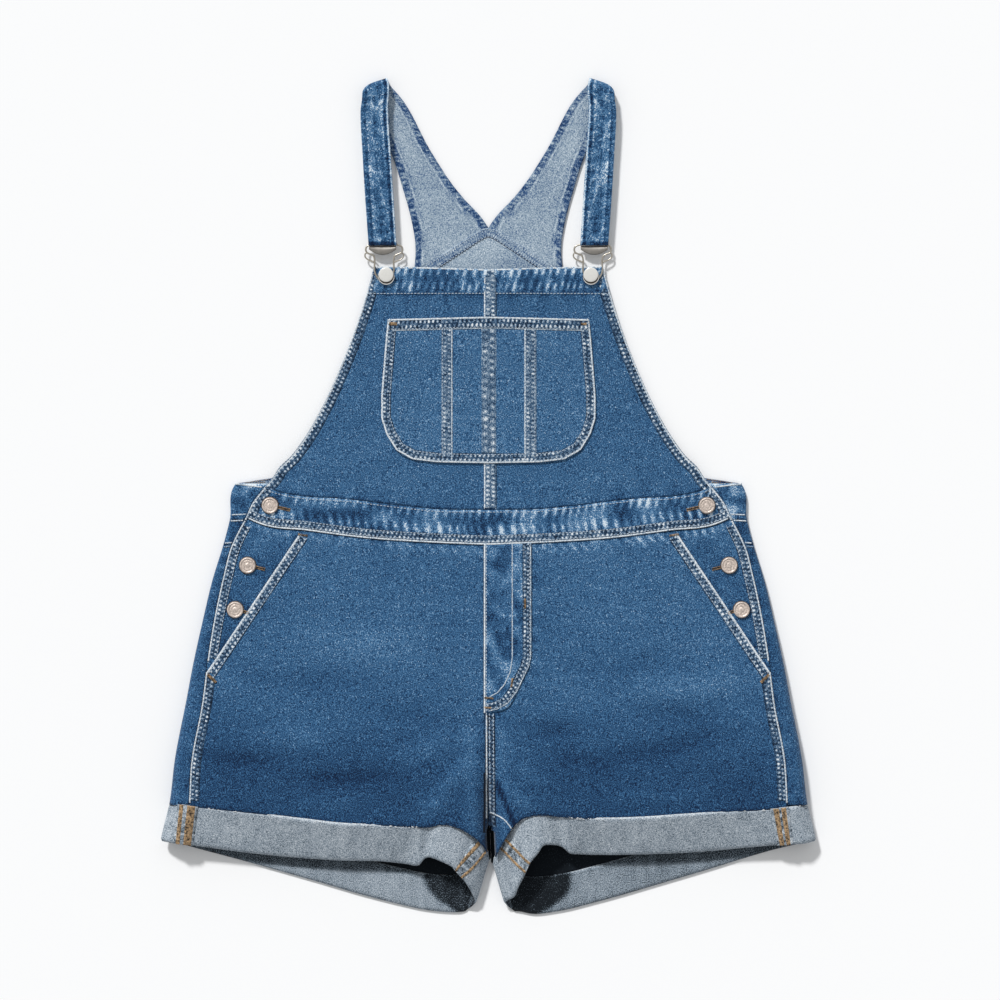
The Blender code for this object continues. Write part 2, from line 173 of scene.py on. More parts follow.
def creases(x, y):
    """Sum of soft bars: each falls off as a bell across its line and fades out along it."""
    total = np.zeros(np.broadcast(x, y).shape)
    for x0, y0, x1, y1, width, rise in CREASES:
        run = np.hypot(x1 - x0, y1 - y0)
        along = ((x - x0) * (x1 - x0) + (y - y0) * (y1 - y0)) / run
        aside = ((x - x0) * (y1 - y0) - (y - y0) * (x1 - x0)) / run
        sway = 5 * (noise(along, along, 40, 40, 2) - 0.5)
        share = np.clip(along / run, 0, 1)
        beyond = np.maximum(np.maximum(-along, along - run), 0)
        fade = np.exp(-(beyond / width) ** 2) * (0.25 + 0.75 * np.sin(math.pi * share))
        total += rise * fade * np.exp(-((aside + sway) / width) ** 2)
    return total


# %% The dome
def crotch(x, y):
    """How far the front drops to the floor beside the seam between the legs, as a quarter round."""
    down = ease((CROTCH_START - y) / (CROTCH_START - CROTCH_END))
    aside = np.minimum(np.abs(x - line(MIDDLE_SEAM, y)) / CROTCH_REACH, 1)
    return down * (1 - np.sqrt(1 - (1 - aside) ** 2))


def top(x, y):
    """Outer face of the front: a parabola across, lowered at the crotch, with the creases on it."""
    side = curve(SIDE_HEIGHT, y)
    middle = curve(MIDDLE_HEIGHT, y)
    width = curve(OUTLINE, y) - side / 2
    share = np.clip(np.abs(x) / width, 0, 1)
    dome = side + (middle - side) * (1 - share ** 2)
    soft = creases(x, y) * ease((1 - share) * 6)
    drop = crotch(x, y)
    return dome + soft * (1 - drop) - (dome - CROTCH_HEIGHT) * drop


def edge(y):
    """Distance of the front pieces' outer edge from the middle."""
    return curve(FRONT_EDGE, y)


def pocket_line(y):
    """Distance of the slanted pocket opening from the middle."""
    return mix(POCKET_START[0], POCKET_END[0], (y - POCKET_START[1]) / (POCKET_END[1] - POCKET_START[1]))


print("height in the middle of a leg:", round(float(top(150, -250)), 1), "mm")

# %% [markdown]
# ## Materials
# Denim is woven from blue warp over white weft. From a step away it reads as
# fine blue and pale grains, drawn out along the warp. Wear takes the blue off
# wherever the cloth stands up: on folded edges and on the ridges between
# stitches. So each cloth material is one ramp from deep indigo to bare white
# thread. A number stored at each point says how far along the ramp it is, and
# grain from noise on Object coordinates is added to it. That number holds the
# wear and, in places, painted shade and painted light: beside seams, on creases,
# under and inside the cuffs and along the crotch.


# %% Node helpers
def linear(code):
    """A screen colour such as 3F6A9A as linear red, green, blue and alpha."""
    part = np.array([int(code[i:i + 2], 16) for i in (0, 2, 4)]) / 255
    return (*np.where(part > 0.04045, ((part + 0.055) / 1.055) ** 2.4, part / 12.92), 1)


def add_node(tree, kind, inputs=(), **settings):
    """One node: inputs is a list of (socket, value or output to join)."""
    made = tree.nodes.new(kind)
    for key, value in settings.items():
        setattr(made, key, value)
    for socket, value in inputs:
        if isinstance(value, bpy.types.NodeSocket):
            tree.links.new(value, made.inputs[socket])
        else:
            made.inputs[socket].default_value = value
    return made


def math_node(tree, operation, a, b=0.0):
    """The output of one sum, product or the like."""
    return add_node(tree, "ShaderNodeMath", [(0, a), (1, b)], operation=operation).outputs[0]


def grain(tree, place, stretch, scale, detail, amount):
    """Noise about zero, times amount, on places stretched by three factors."""
    moved = add_node(tree, "ShaderNodeMapping", [("Vector", place), ("Scale", stretch)]).outputs[0]
    spots = add_node(tree, "ShaderNodeTexNoise",
                     [("Vector", moved), ("Scale", scale), ("Detail", detail), ("Roughness", 0.65)])
    centred = math_node(tree, "SUBTRACT", spots.outputs[0], 0.5)
    return math_node(tree, "MULTIPLY", centred, amount)


# %% Denim, right side and wrong side
def denim(name, ramp, base, speckle, cloud, roughness=0.88, sheen=0.12):
    """Ramp read at base + stored wear and painted shade + grain + clouds, with a twill and grain bump."""
    material = bpy.data.materials.new(name)
    material.use_nodes = True
    tree = material.node_tree
    shader = tree.nodes["Principled BSDF"]
    shader.inputs["Roughness"].default_value = roughness
    shader.inputs["Sheen Weight"].default_value = sheen
    shader.inputs["Sheen Roughness"].default_value = 0.5
    shader.inputs["Specular IOR Level"].default_value = 0.15
    place = add_node(tree, "ShaderNodeTexCoord").outputs["Object"]
    wear_and_painted_shade = add_node(tree, "ShaderNodeAttribute", attribute_name="wear_and_painted_shade").outputs["Fac"]
    fine = grain(tree, place, (1, 0.75, 1), 1150, 1, speckle)
    mottle = grain(tree, place, (1, 0.8, 1), 190, 2, speckle * 0.05)
    clouds = grain(tree, place, (1, 1, 1), 13, 3, cloud)
    streaks = grain(tree, place, (0.25, 2.4, 1), 26, 2, cloud * 0.8)
    total = math_node(tree, "ADD", wear_and_painted_shade, base)
    for part in (fine, mottle, clouds, streaks):
        total = math_node(tree, "ADD", total, part)
    colours = add_node(tree, "ShaderNodeValToRGB", [(0, total)])
    stops = colours.color_ramp.elements
    while len(stops) < len(ramp):
        stops.new(0.5)
    for stop, (position, code) in zip(stops, ramp):
        stop.position = position
        stop.color = linear(code)
    tree.links.new(colours.outputs[0], shader.inputs["Base Color"])
    twill = add_node(tree, "ShaderNodeTexWave", [("Vector", place), ("Scale", 420), ("Distortion", 1.5)],
                     bands_direction="DIAGONAL").outputs["Fac"]
    relief = math_node(tree, "ADD", math_node(tree, "MULTIPLY", twill, 0.35), fine)
    bump = add_node(tree, "ShaderNodeBump", [("Strength", 0.25), ("Distance", 0.0005), ("Height", relief)])
    tree.links.new(bump.outputs[0], shader.inputs["Normal"])
    return material


BLUE = ((0.0, "061B38"), (0.2, "163A5F"), (0.5, "37638C"), (0.7, "5684AB"), (0.85, "8DABC6"), (1.0, "D9E4EC"))
SEAM = ((0.0, "0A1729"), (0.2, "1A3048"), (0.45, "3E5F80"), (0.65, "7C92A6"), (0.85, "AFBCC7"), (1.0, "E8ECEE"))
GREY = ((0.0, "12181E"), (0.3, "707E8A"), (0.5, "97A2AD"), (0.7, "B0BAC3"), (1.0, "DFE4E7"))
PALE = ((0.0, "14325A"), (0.25, "3E608C"), (0.5, "90A2B1"), (0.7, "A9BAC8"), (1.0, "E4EBF0"))
denim_face = denim("denim_right_side", BLUE, 0.42, 1.9, 0.12)
denim_hem = denim("denim_seams", SEAM, 0.02, 1.6, 0.1)
denim_cuff = denim("denim_wrong_side", GREY, 0.52, 1.8, 0.1, 0.92, 0.1)
denim_inside = denim("denim_inside", PALE, 0.55, 1.5, 0.14, 0.92, 0.1)
# A near black copy of the wrong-side denim for the inner faces of the legs and back pieces: painted shade inside the
# legs.
denim_painted_shade = denim("leg_inside_denim_with_painted_shade", GREY, 0.0, 0.4, 0.08, 0.95, 0.0)


# %% [markdown]
# ### Thread and metal
# Two threads sew the garment: a pale blue one that matches the washed cloth,
# and a tan one for bars, buttonholes and cuffs. The metal is nickel with a
# slightly warm, brushed surface.

# %% Thread and nickel
def plain(name, code, roughness, metallic, speckle, scale, bump):
    """A colour that noise makes lighter and darker, with the same noise as bump."""
    material = bpy.data.materials.new(name)
    material.use_nodes = True
    tree = material.node_tree
    shader = tree.nodes["Principled BSDF"]
    shader.inputs["Roughness"].default_value = roughness
    shader.inputs["Metallic"].default_value = metallic
    place = add_node(tree, "ShaderNodeTexCoord").outputs["Object"]
    spots = grain(tree, place, (1, 1, 1), scale, 2, speckle)
    bright = math_node(tree, "ADD", spots, 1.0)
    tint = add_node(tree, "ShaderNodeHueSaturation", [("Value", bright), ("Color", linear(code))])
    tree.links.new(tint.outputs[0], shader.inputs["Base Color"])
    rough = add_node(tree, "ShaderNodeBump", [("Strength", bump), ("Distance", 0.0002), ("Height", spots)])
    tree.links.new(rough.outputs[0], shader.inputs["Normal"])
    return material


thread_pale = plain("pale_thread", "B4C3D1", 0.8, 0, 1.2, 600, 0.3)
thread_white = plain("bare_white_thread", "E6EAEC", 0.85, 0, 0.4, 600, 0.3)
thread_tan = plain("tan_thread", "93795A", 0.8, 0, 5.5, 480, 0.5)
nickel = plain("nickel", "B9B2A6", 0.3, 0.75, 0.35, 500, 0.25)
nickel_cap = plain("nickel_of_the_tack_buttons", "D2C3B8", 0.4, 0.35, 2.2, 620, 0.7)
nickel_bright = plain("polished_nickel", "F1EFE9", 0.3, 0.25, 0.15, 600, 0.15)
nickel_plate = plain("nickel_of_the_strap_plates", "9A958E", 0.42, 0.5, 0.6, 300, 0.2)
# A dark brown: the patina in the bib buttons' grooves, and the painted contact shadow under the side buttons.
patina_and_painted_shadow = plain("nickel_patina_and_painted_shadow", "4A3D30", 0.5, 0.3, 0.5, 500, 0.3)
print("materials:", len(bpy.data.materials))

# %% [markdown]
# ## Making a cloth piece
# A piece is a grid of points over its outer face. Blender's Solidify modifier
# gives it its wall, inward, and puts another material on the inner face where
# the wrong side of the cloth shows; on the legs and back pieces that inner
# material is a near black grey of painted shade. Each piece rides on the one
# body and stands for its plain solid.


# %% Grids to meshes
def grid_faces(rows, columns, loop=False):
    """Quads of a grid of points, each row joined round to its start when loop is set."""
    index = np.arange(rows * columns).reshape(rows, columns)
    if loop:
        index = np.concatenate([index, index[:, :1]], axis=1)
    corners = (index[:-1, :-1], index[:-1, 1:], index[1:, 1:], index[1:, :-1])
    return np.stack(corners, axis=-1).reshape(-1, 4)


def add_mesh(name, points, faces, materials, wear_and_painted_shade=None, node=()):
    """An object in millimetres at the origin, with its attribute of wear and painted shade, riding on the root body.
    """
    mesh = bpy.data.meshes.new(name)
    mesh.from_pydata((np.reshape(points, (-1, 3)) * MM).tolist(), [], np.asarray(faces).tolist())
    mesh.shade_smooth()
    for material in materials:
        mesh.materials.append(material)
    if wear_and_painted_shade is not None:
        layer = mesh.attributes.new("wear_and_painted_shade", "FLOAT", "POINT")
        layer.data.foreach_set("value", np.ravel(wear_and_painted_shade).astype(np.float32))
    made = bpy.data.objects.new(name, mesh)
    bpy.context.scene.collection.objects.link(made)
    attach(made, "root")
    if node:
        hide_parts(*node)
    return made


def add_cloth(name, points, wall, materials, wear_and_painted_shade, node, flip=False):
    """A sheet from its outer face's grid, with a wall inward and the second material inside."""
    rows, columns = points.shape[:2]
    faces = grid_faces(rows, columns)
    if flip:
        faces = faces[:, ::-1]
    made = add_mesh(name, points, faces, materials, wear_and_painted_shade, node)
    wall_modifier = made.modifiers.new("Wall", "SOLIDIFY")
    wall_modifier.thickness = wall * MM
    wall_modifier.offset = -1
    if len(materials) > 1:
        wall_modifier.material_offset = 1
    print(name, rows, "x", columns)
    return made


def between(left, right, low, high, columns, rows, spread=lambda u: u):
    """Grid of x and y between two side edges, x at y, and two cross edges, y at x."""
    u, v = np.meshgrid(spread(np.linspace(0, 1, columns)), np.linspace(0, 1, rows))
    y = mix(low(0 * u), high(0 * u), v)
    for _ in range(8):
        x = mix(left(y), right(y), u)
        y = mix(low(x), high(x), v)
    return x, y


# %% [markdown]
# ### Wear on a panel
# Near a seam the cloth ripples where the sewing has drawn it up, and the
# ripples wear pale on top and stay dark between. For each point of a panel the
# nearest seam is found, and noise that is short along the seam and long across
# it gives the ripples. They die out within a finger's width.


# %% Ripples beside seams
def nearest(x, y, seams):
    """Distance along and away from the nearest of some polylines, for every point."""
    away = np.full(x.shape, 1e9)
    along = np.zeros(x.shape)
    for number, seam in enumerate(seams):
        steps = np.concatenate([[0], np.cumsum(np.hypot(*np.diff(seam, axis=0).T))])
        gap = np.hypot(x[..., None] - seam[:, 0], y[..., None] - seam[:, 1])
        best = gap.argmin(axis=-1)
        least = gap.min(axis=-1)
        closer = least < away
        along = np.where(closer, steps[best] + 500 * number, along)
        away = np.where(closer, least, away)
    return along, away


def ripples(x, y, seams, reach=9.0, length=6.0):
    """Ripple from -1 to 1 across each seam, fading with distance from it."""
    along, away = nearest(x, y, seams)
    wave = noise(along, away, length, 30, 1) + 0.6 * noise(along, away, length * 0.55, 14, 3) - 0.8
    return 1.6 * wave * np.exp(-away / reach), away


def strokes(along, away, centre, reach, pitch=8.0, seed=1):
    """Short pale strokes across a seam, about one every pitch, in a row at a distance from it."""
    lean = along + 0.25 * away
    phase = 2 * math.pi * lean / pitch + 8 * noise(lean, 0 * away, 36, 1, seed)
    bars = (0.5 + 0.5 * np.cos(phase)) ** 2.2 * (0.3 + 1.0 * noise(along, away, 15, 30, 2))
    return bars * np.exp(-((away - centre) / reach) ** 2)


def fan(points):
    """A polyline with a point every 2 mm through a few corners."""
    points = np.array(points, float)
    steps = np.concatenate([[0], np.cumsum(np.hypot(*np.diff(points, axis=0).T))])
    at = np.linspace(0, steps[-1], max(int(steps[-1] / 2), 2))
    return np.stack([np.interp(at, steps, points[:, 0]), np.interp(at, steps, points[:, 1])], axis=1)


# %% A smooth path
def spline(rows, step, closed=False):
    """Smooth curve through rows of any number of columns, with a point every so many millimetres."""
    rows = np.array(rows, float)
    if closed:
        rows = np.concatenate([rows[-3:], rows, rows[:4]])
    run = np.concatenate([[0], np.cumsum(np.linalg.norm(np.diff(rows, axis=0), axis=1))])
    first, last = (run[3], run[-4]) if closed else (run[0], run[-1])
    at = np.linspace(first, last, int((last - first) / step) + 1)
    if closed:
        at = at[:-1]
    return np.stack([curve(np.stack([run, column], axis=1), at) for column in rows.T], axis=1)


# %% Seam lines
def seam_x(x_of_y, start, end, side=1):
    """A seam down the garment: x from a function of y."""
    y = np.arange(start, end, -2.0)
    return np.stack([side * x_of_y(y), y], axis=1)


def seam_y(y_of_x, start, end):
    """A seam across the garment: y from a function of x."""
    x = np.arange(start, end, 2.0)
    return np.stack([x, y_of_x(x)], axis=1)


FLY_ROW = fan([(23.9, -48), (23.9, -160), (22, -175), (16, -188), (9, -196), (0, -201)])
FLY_OUTER = fan([(43, -47), (43, -160), (41, -170), (36, -180), (29, -195), (20, -207), (9, -213), (0, -215)])
seams = {
    "bib_top": seam_y(lambda x: curve(BIB_TOP, np.abs(x)), -115, 115),
    "bib_hem": seam_y(lambda x: 203 + 0 * x, -121, 122),
    "bib_middle": fan([(2.2, 226), (2.2, -14)]),
    "band_top": seam_y(lambda x: curve(BAND_TOP, np.abs(x)), -222, 222),
    "band_foot": seam_y(lambda x: curve(BAND_FOOT, np.abs(x)), -242, 242),
    "fly_edge": fan([(-4.4, -48), (-4.4, -217)]),
    "fly_row": FLY_ROW,
    "fly_outer": FLY_OUTER,
    "middle": seam_x(lambda y: line(MIDDLE_SEAM, y) + 1, -217, -345)}
for side, word in ((-1, "left"), (1, "right")):
    seams["bib_edge_" + word] = seam_x(edge, 229, 8, side)
    seams["placket_" + word] = seam_x(edge, 8, -178, side)
    seams["side_" + word] = seam_x(edge, -178, -307, side)
    seams["pocket_" + word] = fan([(side * POCKET_START[0], POCKET_START[1]),
                                   (side * POCKET_END[0], POCKET_END[1])])
print("seams:", len(seams))

# %% [markdown]
# ## Hems and seams
# A felled seam or a hem is a narrow raised band. It is made as a closed strip
# laid along a path on the cloth, with slanting ridges across it, because sewn
# cloth twists a little and ropes as it is washed. Stitches are small capsules
# set into it, one every 3.4 mm.

# %% Strips and stitches
def path_of(points, step):
    """A polyline's points every so many millimetres, with unit directions and distances."""
    points = np.array(points, float)
    run = np.concatenate([[0], np.cumsum(np.hypot(*np.diff(points, axis=0).T))])
    at = np.linspace(0, run[-1], max(int(run[-1] / step), 3) + 1)
    placed = np.stack([np.interp(at, run, points[:, 0]), np.interp(at, run, points[:, 1])], axis=1)
    ahead = np.gradient(placed, axis=0)
    ahead = ahead / np.hypot(ahead[:, 0], ahead[:, 1])[:, None]
    return placed, ahead, at


def strip(points, width, lift, level, contrast, edges=(0.0, 0.0), base=0.0, wave=4.4, rope=0.35, ground=top):
    """A closed band: flat topped across, roped along, with two rows of pale spots on dark, and its wear numbers."""
    placed, ahead, at = path_of(points, 1.1)
    across = np.array([-1, -0.94, -0.75, -0.5, -0.25, 0, 0.25, 0.5, 0.75, 0.94, 1])
    along, side = np.meshgrid(at, across, indexing="ij")
    x = placed[:, :1] - ahead[:, 1:] * side * width / 2
    y = placed[:, 1:] + ahead[:, :1] * side * width / 2
    skew = along + 0.4 * side * width
    ridge = noise(skew, side * width, wave, 6, 1) + 0.6 * noise(skew, side * width, wave / 2, 4, 3) - 0.8
    body = 1 - side ** 6
    z = ground(x, y) + base + lift * body + rope * ridge * (1 - side ** 4)
    foot = ground(x[:, [0, -1]], y[:, [0, -1]]) + base - 0.4
    x = np.concatenate([x[:, :1], x, x[:, -1:]], axis=1)
    y = np.concatenate([y[:, :1], y, y[:, -1:]], axis=1)
    z = np.concatenate([foot[:, :1], z, foot[:, 1:]], axis=1)
    phase = 2 * math.pi * along / wave + 4 * noise(along, side, 30, 9, 2) + 2.2 * np.sign(side)
    spots = np.exp(-((np.abs(side) - 0.42) / 0.3) ** 2) * (0.5 + 0.5 * np.cos(phase)) ** 1.3
    spots = spots * (0.3 + 1.4 * noise(along, side * width, 11, 5, 3))
    wear_and_painted_shade = level + contrast * (1.9 * spots + 0.8 * ridge - 0.4)
    wear_and_painted_shade = wear_and_painted_shade + edges[0] * np.exp(-((side + 1) * width / 1.6) ** 2)
    wear_and_painted_shade = wear_and_painted_shade + edges[1] * np.exp(-((side - 1) * width / 1.6) ** 2)
    wear_and_painted_shade = np.concatenate([wear_and_painted_shade[:, :1], wear_and_painted_shade, wear_and_painted_shade[:, -1:]], axis=1)
    rows, columns = x.shape
    faces = grid_faces(rows, columns, loop=True).tolist()
    faces.append(list(range(columns)))
    faces.append(list(range(rows * columns - 1, (rows - 1) * columns - 1, -1)))
    return np.stack([x, y, z], axis=-1).reshape(-1, 3), faces, wear_and_painted_shade.ravel()


def capsule(around=6, rings=3):
    """A rounded grain one long and one thick: rings between two poles."""
    angle = np.linspace(0, 2 * math.pi, around, endpoint=False)
    along = np.array([-0.36, 0, 0.36])
    thick = np.array([0.42, 0.5, 0.42])
    body = [(a, r * math.cos(t), r * math.sin(t)) for a, r in zip(along, thick) for t in angle]
    points = np.array([(-0.5, 0, 0)] + body + [(0.5, 0, 0)])
    faces = [(0, 1 + (k + 1) % around, 1 + k) for k in range(around)]
    for ring in range(rings - 1):
        a = 1 + ring * around
        faces += [(a + k, a + (k + 1) % around, a + around + (k + 1) % around, a + around + k)
                  for k in range(around)]
    last, end = 1 + (rings - 1) * around, len(points) - 1
    faces += [(last + k, last + (k + 1) % around, end) for k in range(around)]
    return points, faces


GRAIN_POINTS, GRAIN_FACES = capsule()


def edge_line(points, base=0.0, width=1.7, level=0.9):
    """The bare white fold of a hem: a very narrow strip along an edge."""
    return strip(points, width, 0.55, level, 0.12, (0, 0), base, 3.1, 0.12)


def laid_capsules(centre, forward, upward, length, thick):
    """Capsules at the centres, each long along forward; upward is made square to it."""
    forward = forward / np.linalg.norm(forward, axis=1)[:, None]
    sideways = np.cross(upward, forward)
    sideways = sideways / np.linalg.norm(sideways, axis=1)[:, None]
    upward = np.cross(forward, sideways)
    a, b, c = (GRAIN_POINTS * (1, thick, thick)).T
    long = a[None, :, None] * np.reshape(length * np.ones(len(centre)), (-1, 1, 1))
    laid = (centre[:, None] + long * forward[:, None] + b[:, None] * sideways[:, None]
            + c[:, None] * upward[:, None]).reshape(-1, 3)
    size = len(GRAIN_POINTS)
    faces = [tuple(corner + size * k for corner in face) for k in range(len(centre)) for face in GRAIN_FACES]
    return laid, faces, np.zeros(len(laid))


def stitches(points, lift, offset=0.0, pitch=3.4, length=2.6, thick=0.85, ground=top, crosswise=False):
    """A row of capsules along a path, each lying on the cloth along it or, for a bar, across it."""
    placed, ahead, _ = path_of(points, pitch)
    left = np.stack([-ahead[:, 1], ahead[:, 0]], axis=1)
    x, y = (placed + left * offset).T
    dx, dy = left.T if crosswise else ahead.T
    rise = (ground(x + dx, y + dy) - ground(x - dx, y - dy)) / 2
    centre = np.stack([x, y, ground(x, y) + lift], axis=1)
    return laid_capsules(centre, np.stack([dx, dy, rise], axis=1), np.array([[0, 0, 1.0]]), length, thick)


def add_joined(name, parts, materials):
    """One object from several closed meshes, with every face turned outward."""
    start, points, faces, wear_and_painted_shade = 0, [], [], []
    for part_points, part_faces, part_worn in parts:
        points.append(part_points)
        faces += [[corner + start for corner in face] for face in part_faces]
        wear_and_painted_shade.append(part_worn)
        start += len(part_points)
    mesh = bpy.data.meshes.new(name)
    mesh.from_pydata((np.concatenate(points) * MM).tolist(), [], faces)
    work = bmesh.new()
    work.from_mesh(mesh)
    bmesh.ops.recalc_face_normals(work, faces=work.faces)
    work.to_mesh(mesh)
    work.free()
    mesh.shade_smooth()
    for material in materials:
        mesh.materials.append(material)
    layer = mesh.attributes.new("wear_and_painted_shade", "FLOAT", "POINT")
    layer.data.foreach_set("value", np.concatenate(wear_and_painted_shade).astype(np.float32))
    made = bpy.data.objects.new(name, mesh)
    bpy.context.scene.collection.objects.link(made)
    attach(made, "root")
    print(name, len(parts), "parts", len(faces), "faces")
    return made


# %% [markdown]


# %% [markdown]
# ## The front
# ### Bib
# The bib runs from the waistband to a hem across the chest. Its top hem is dark,
# because little light or wear reaches the doubled cloth, with a bare white edge.

# %% Bib
SPACING = 2.5


def count(length):
    """Grid points for a length."""
    return int(length / SPACING) + 1


def seam_list(*names):
    """The named seams' points."""
    return [seams[name] for name in names]


x, y = between(lambda y: -edge(y), edge, lambda x: curve(BAND_TOP, np.abs(x)) + 0.3,
               lambda x: curve(BIB_TOP, np.abs(x)), count(300), count(240))
wave, away = ripples(x, y, seam_list("bib_top", "bib_hem", "bib_middle", "bib_edge_left",
                                     "bib_edge_right", "band_top"))
drop = curve(BIB_TOP, np.abs(x)) - y
hem = ease((y - 202) / 2)
upper = strokes(x, drop, 4.0, 4.5, 8.5, 1)
lower = strokes(x, drop, 19.0, 5.0, 7.5, 3)
wear_and_painted_shade = 0.2 * wave * (1 - hem) + hem * (0.7 * upper + 0.6 * lower + 0.45 * (noise(x, drop, 5, 9, 2) - 0.5) - 0.11)
# Within a few millimetres of each seam the bib is made darker: painted shade beside the raised seam bands.
wear_and_painted_shade = wear_and_painted_shade + 0.2 * np.exp(-((drop - 0.6) / 1.2) ** 2) - 0.12 * np.exp(-away / 4) * (1 - hem)
z = top(x, y) + 0.35 * wave * (1 - hem) + hem * (0.7 + 0.7 * upper + 0.6 * lower)
bib_points = np.stack([x, y, z], axis=-1)
bib = add_cloth("bib_cloth", bib_points, CLOTH, [denim_face, denim_inside], wear_and_painted_shade, ("bib",))
bib_seams = [strip([(2, 226), (2, -12)], 12.4, 0.9, 0.5, 0.3, (0.1, -0.1), 0.4),
             edge_line([(-3.6, 226), (-3.6, -12)], 0.4), edge_line(seams["bib_top"] - (0, 0.7), 0.4)]
bib_rows = [stitches([(-4, 201), (-4, -12)], 0.5), stitches([(7.2, 201), (7.2, -12)], 0.5),
            stitches(seams["bib_hem"], 0.8)]
for side, word in SIDES:
    path = seam_x(lambda y: edge(y) - 5, 228, 5, side)
    bib_seams.append(strip(path, 9.8, 0.8, 0.32, 0.4))
    bib_rows.append(stitches(path, 0.9, 4.2 * side))
    bib_seams.append(edge_line(seam_x(lambda y: edge(y) - 0.7, 229, 5, side), 0.3))
bib_bands = add_joined("bib_seams", bib_seams, [denim_hem])
bib_thread = add_joined("bib_stitches", bib_rows, [thread_pale])

# %% [markdown]
# ### Patch pocket
# The pocket on the bib lies one cloth thickness up. Its turned edge is worn
# white all round, and two sewn bands and the bib's own seam part it in three.

# %% Patch pocket
PATCH_TOP = ((0, 179.4), (101, 177))
PATCH_SIDE = ((177, 100.5), (139, 104), (101, 107), (33, 107))
PATCH_FOOT = ((0, 33), (51, 34), (76, 37), (92, 46), (102, 62), (107, 78))
x, y = between(lambda y: -curve(PATCH_SIDE, y), lambda y: curve(PATCH_SIDE, y),
               lambda x: curve(PATCH_FOOT, np.abs(x)), lambda x: curve(PATCH_TOP, np.abs(x)),
               count(230), count(160), lambda u: 0.5 - 0.5 * np.cos(math.pi * u))
PATCH_BORDER = fan([(-100.5, 177), (-102.5, 158), (-104, 139), (-107, 101), (-107, 78), (-102, 62),
                    (-92, 46), (-76, 37), (-51, 34), (0, 33), (51, 34), (76, 37), (92, 46),
                    (102, 62), (107, 78), (107, 101), (104, 139), (102.5, 158), (100.5, 177)])
pocket_top = seam_y(lambda x: curve(PATCH_TOP, np.abs(x)), -100, 101)
divider_left = fan([(-41.5, 167), (-41.5, 36)])
divider_right = fan([(42, 167), (42, 36)])
wave, away = ripples(x, y, [PATCH_BORDER, pocket_top, divider_left, divider_right])
wear_and_painted_shade = 0.16 * wave + 0.05
patch_points = np.stack([x, y, top(x, y) + PATCH_LIFT + 0.3 * wave], axis=-1)
patch = add_cloth("pocket_cloth", patch_points, CLOTH, [denim_face, denim_inside], wear_and_painted_shade, ("bib_pocket",))


def inset(points, distance):
    """A polyline moved sideways, to its left as it is followed."""
    placed, ahead, _ = path_of(points, 2.0)
    return placed + np.stack([-ahead[:, 1], ahead[:, 0]], axis=1) * distance


patch_strips = [
    strip(inset(PATCH_BORDER, 4.8), 9.4, 0.7, 0.34, 0.38, (0, 0), PATCH_LIFT),
    strip(inset(pocket_top, -5.6), 11.2, 0.9, 0.34, 0.5, (0.1, 0), PATCH_LIFT + 0.3),
    strip(divider_left, 11.4, 0.6, 0.44, 0.28, (0.15, 0.3), PATCH_LIFT),
    strip(divider_right, 12.6, 0.6, 0.44, 0.28, (0.3, 0.15), PATCH_LIFT),
    strip([(0.5, 167), (0.5, 43)], 16, 0.8, 0.48, 0.26, (0.25, 0.2), PATCH_LIFT - 0.3, 7.5),
    edge_line(inset(PATCH_BORDER, 0.5), PATCH_LIFT + 0.2), edge_line(inset(pocket_top, -0.7), PATCH_LIFT + 0.8),
    edge_line(divider_left + (4.9, 0), PATCH_LIFT + 0.3, 1.2, 0.8),
    edge_line(divider_right - (5.4, 0), PATCH_LIFT + 0.3, 1.2, 0.8),
    edge_line(inset(pocket_top, -11.2), PATCH_LIFT + 0.1, 1.3, 0.7)]
patch_rows = [
    stitches(inset(PATCH_BORDER, 1.4), PATCH_LIFT + 0.6), stitches(inset(PATCH_BORDER, 8.2), PATCH_LIFT + 0.6),
    stitches(inset(pocket_top, -1.4), PATCH_LIFT + 0.9), stitches(inset(pocket_top, -10), PATCH_LIFT + 0.9)]
for divider in (divider_left, divider_right):
    patch_rows += [stitches(divider, PATCH_LIFT + 0.6, 4.6), stitches(divider, PATCH_LIFT + 0.6, -4.6)]
patch_bands = add_joined("pocket_seams", patch_strips, [denim_hem])
patch_thread = add_joined("pocket_stitches", patch_rows, [thread_pale])

# %% [markdown]
# ### Waistband, fly and legs
# The waistband lies over the bib's foot and the legs' tops. The fly is a flap
# sewn down by its J shaped rows. Each leg ends in front at the slanted pocket,
# where the hip piece with the buttonholes shows behind it.

# %% Front waistband
x, y = between(lambda y: -edge(y), edge, lambda x: curve(BAND_FOOT, np.abs(x)),
               lambda x: curve(BAND_TOP, np.abs(x)), count(520), 15)
wave, away = ripples(x, y, seam_list("band_top", "band_foot", "placket_left", "placket_right"), 14, 7)
from_top = curve(BAND_TOP, np.abs(x)) - y
from_foot = y - curve(BAND_FOOT, np.abs(x))
upper = strokes(x, from_top, 3.5, 5.5, 9.0, 3)
lower = strokes(x + 300, from_foot, 14.0, 6.5, 9.5, 1)
wear_and_painted_shade = 0.6 * upper + 0.7 * lower + 0.6 * (noise(x, y, 24, 13, 2) - 0.5) - 0.12
wear_and_painted_shade = wear_and_painted_shade + 0.2 * np.exp(-((from_top - 0.6) / 1.2) ** 2)
band_points = np.stack([x, y, top(x, y) + BAND_LIFT + 0.6 * upper + 0.5 * lower], axis=-1)
waistband = add_cloth("waistband_cloth", band_points, BAND, [denim_face], wear_and_painted_shade, ("waistband_front",))
foot_line = fan(np.stack([np.arange(-240, 241, 4.0), curve(BAND_FOOT, np.abs(np.arange(-240, 241, 4.0)))], axis=1))
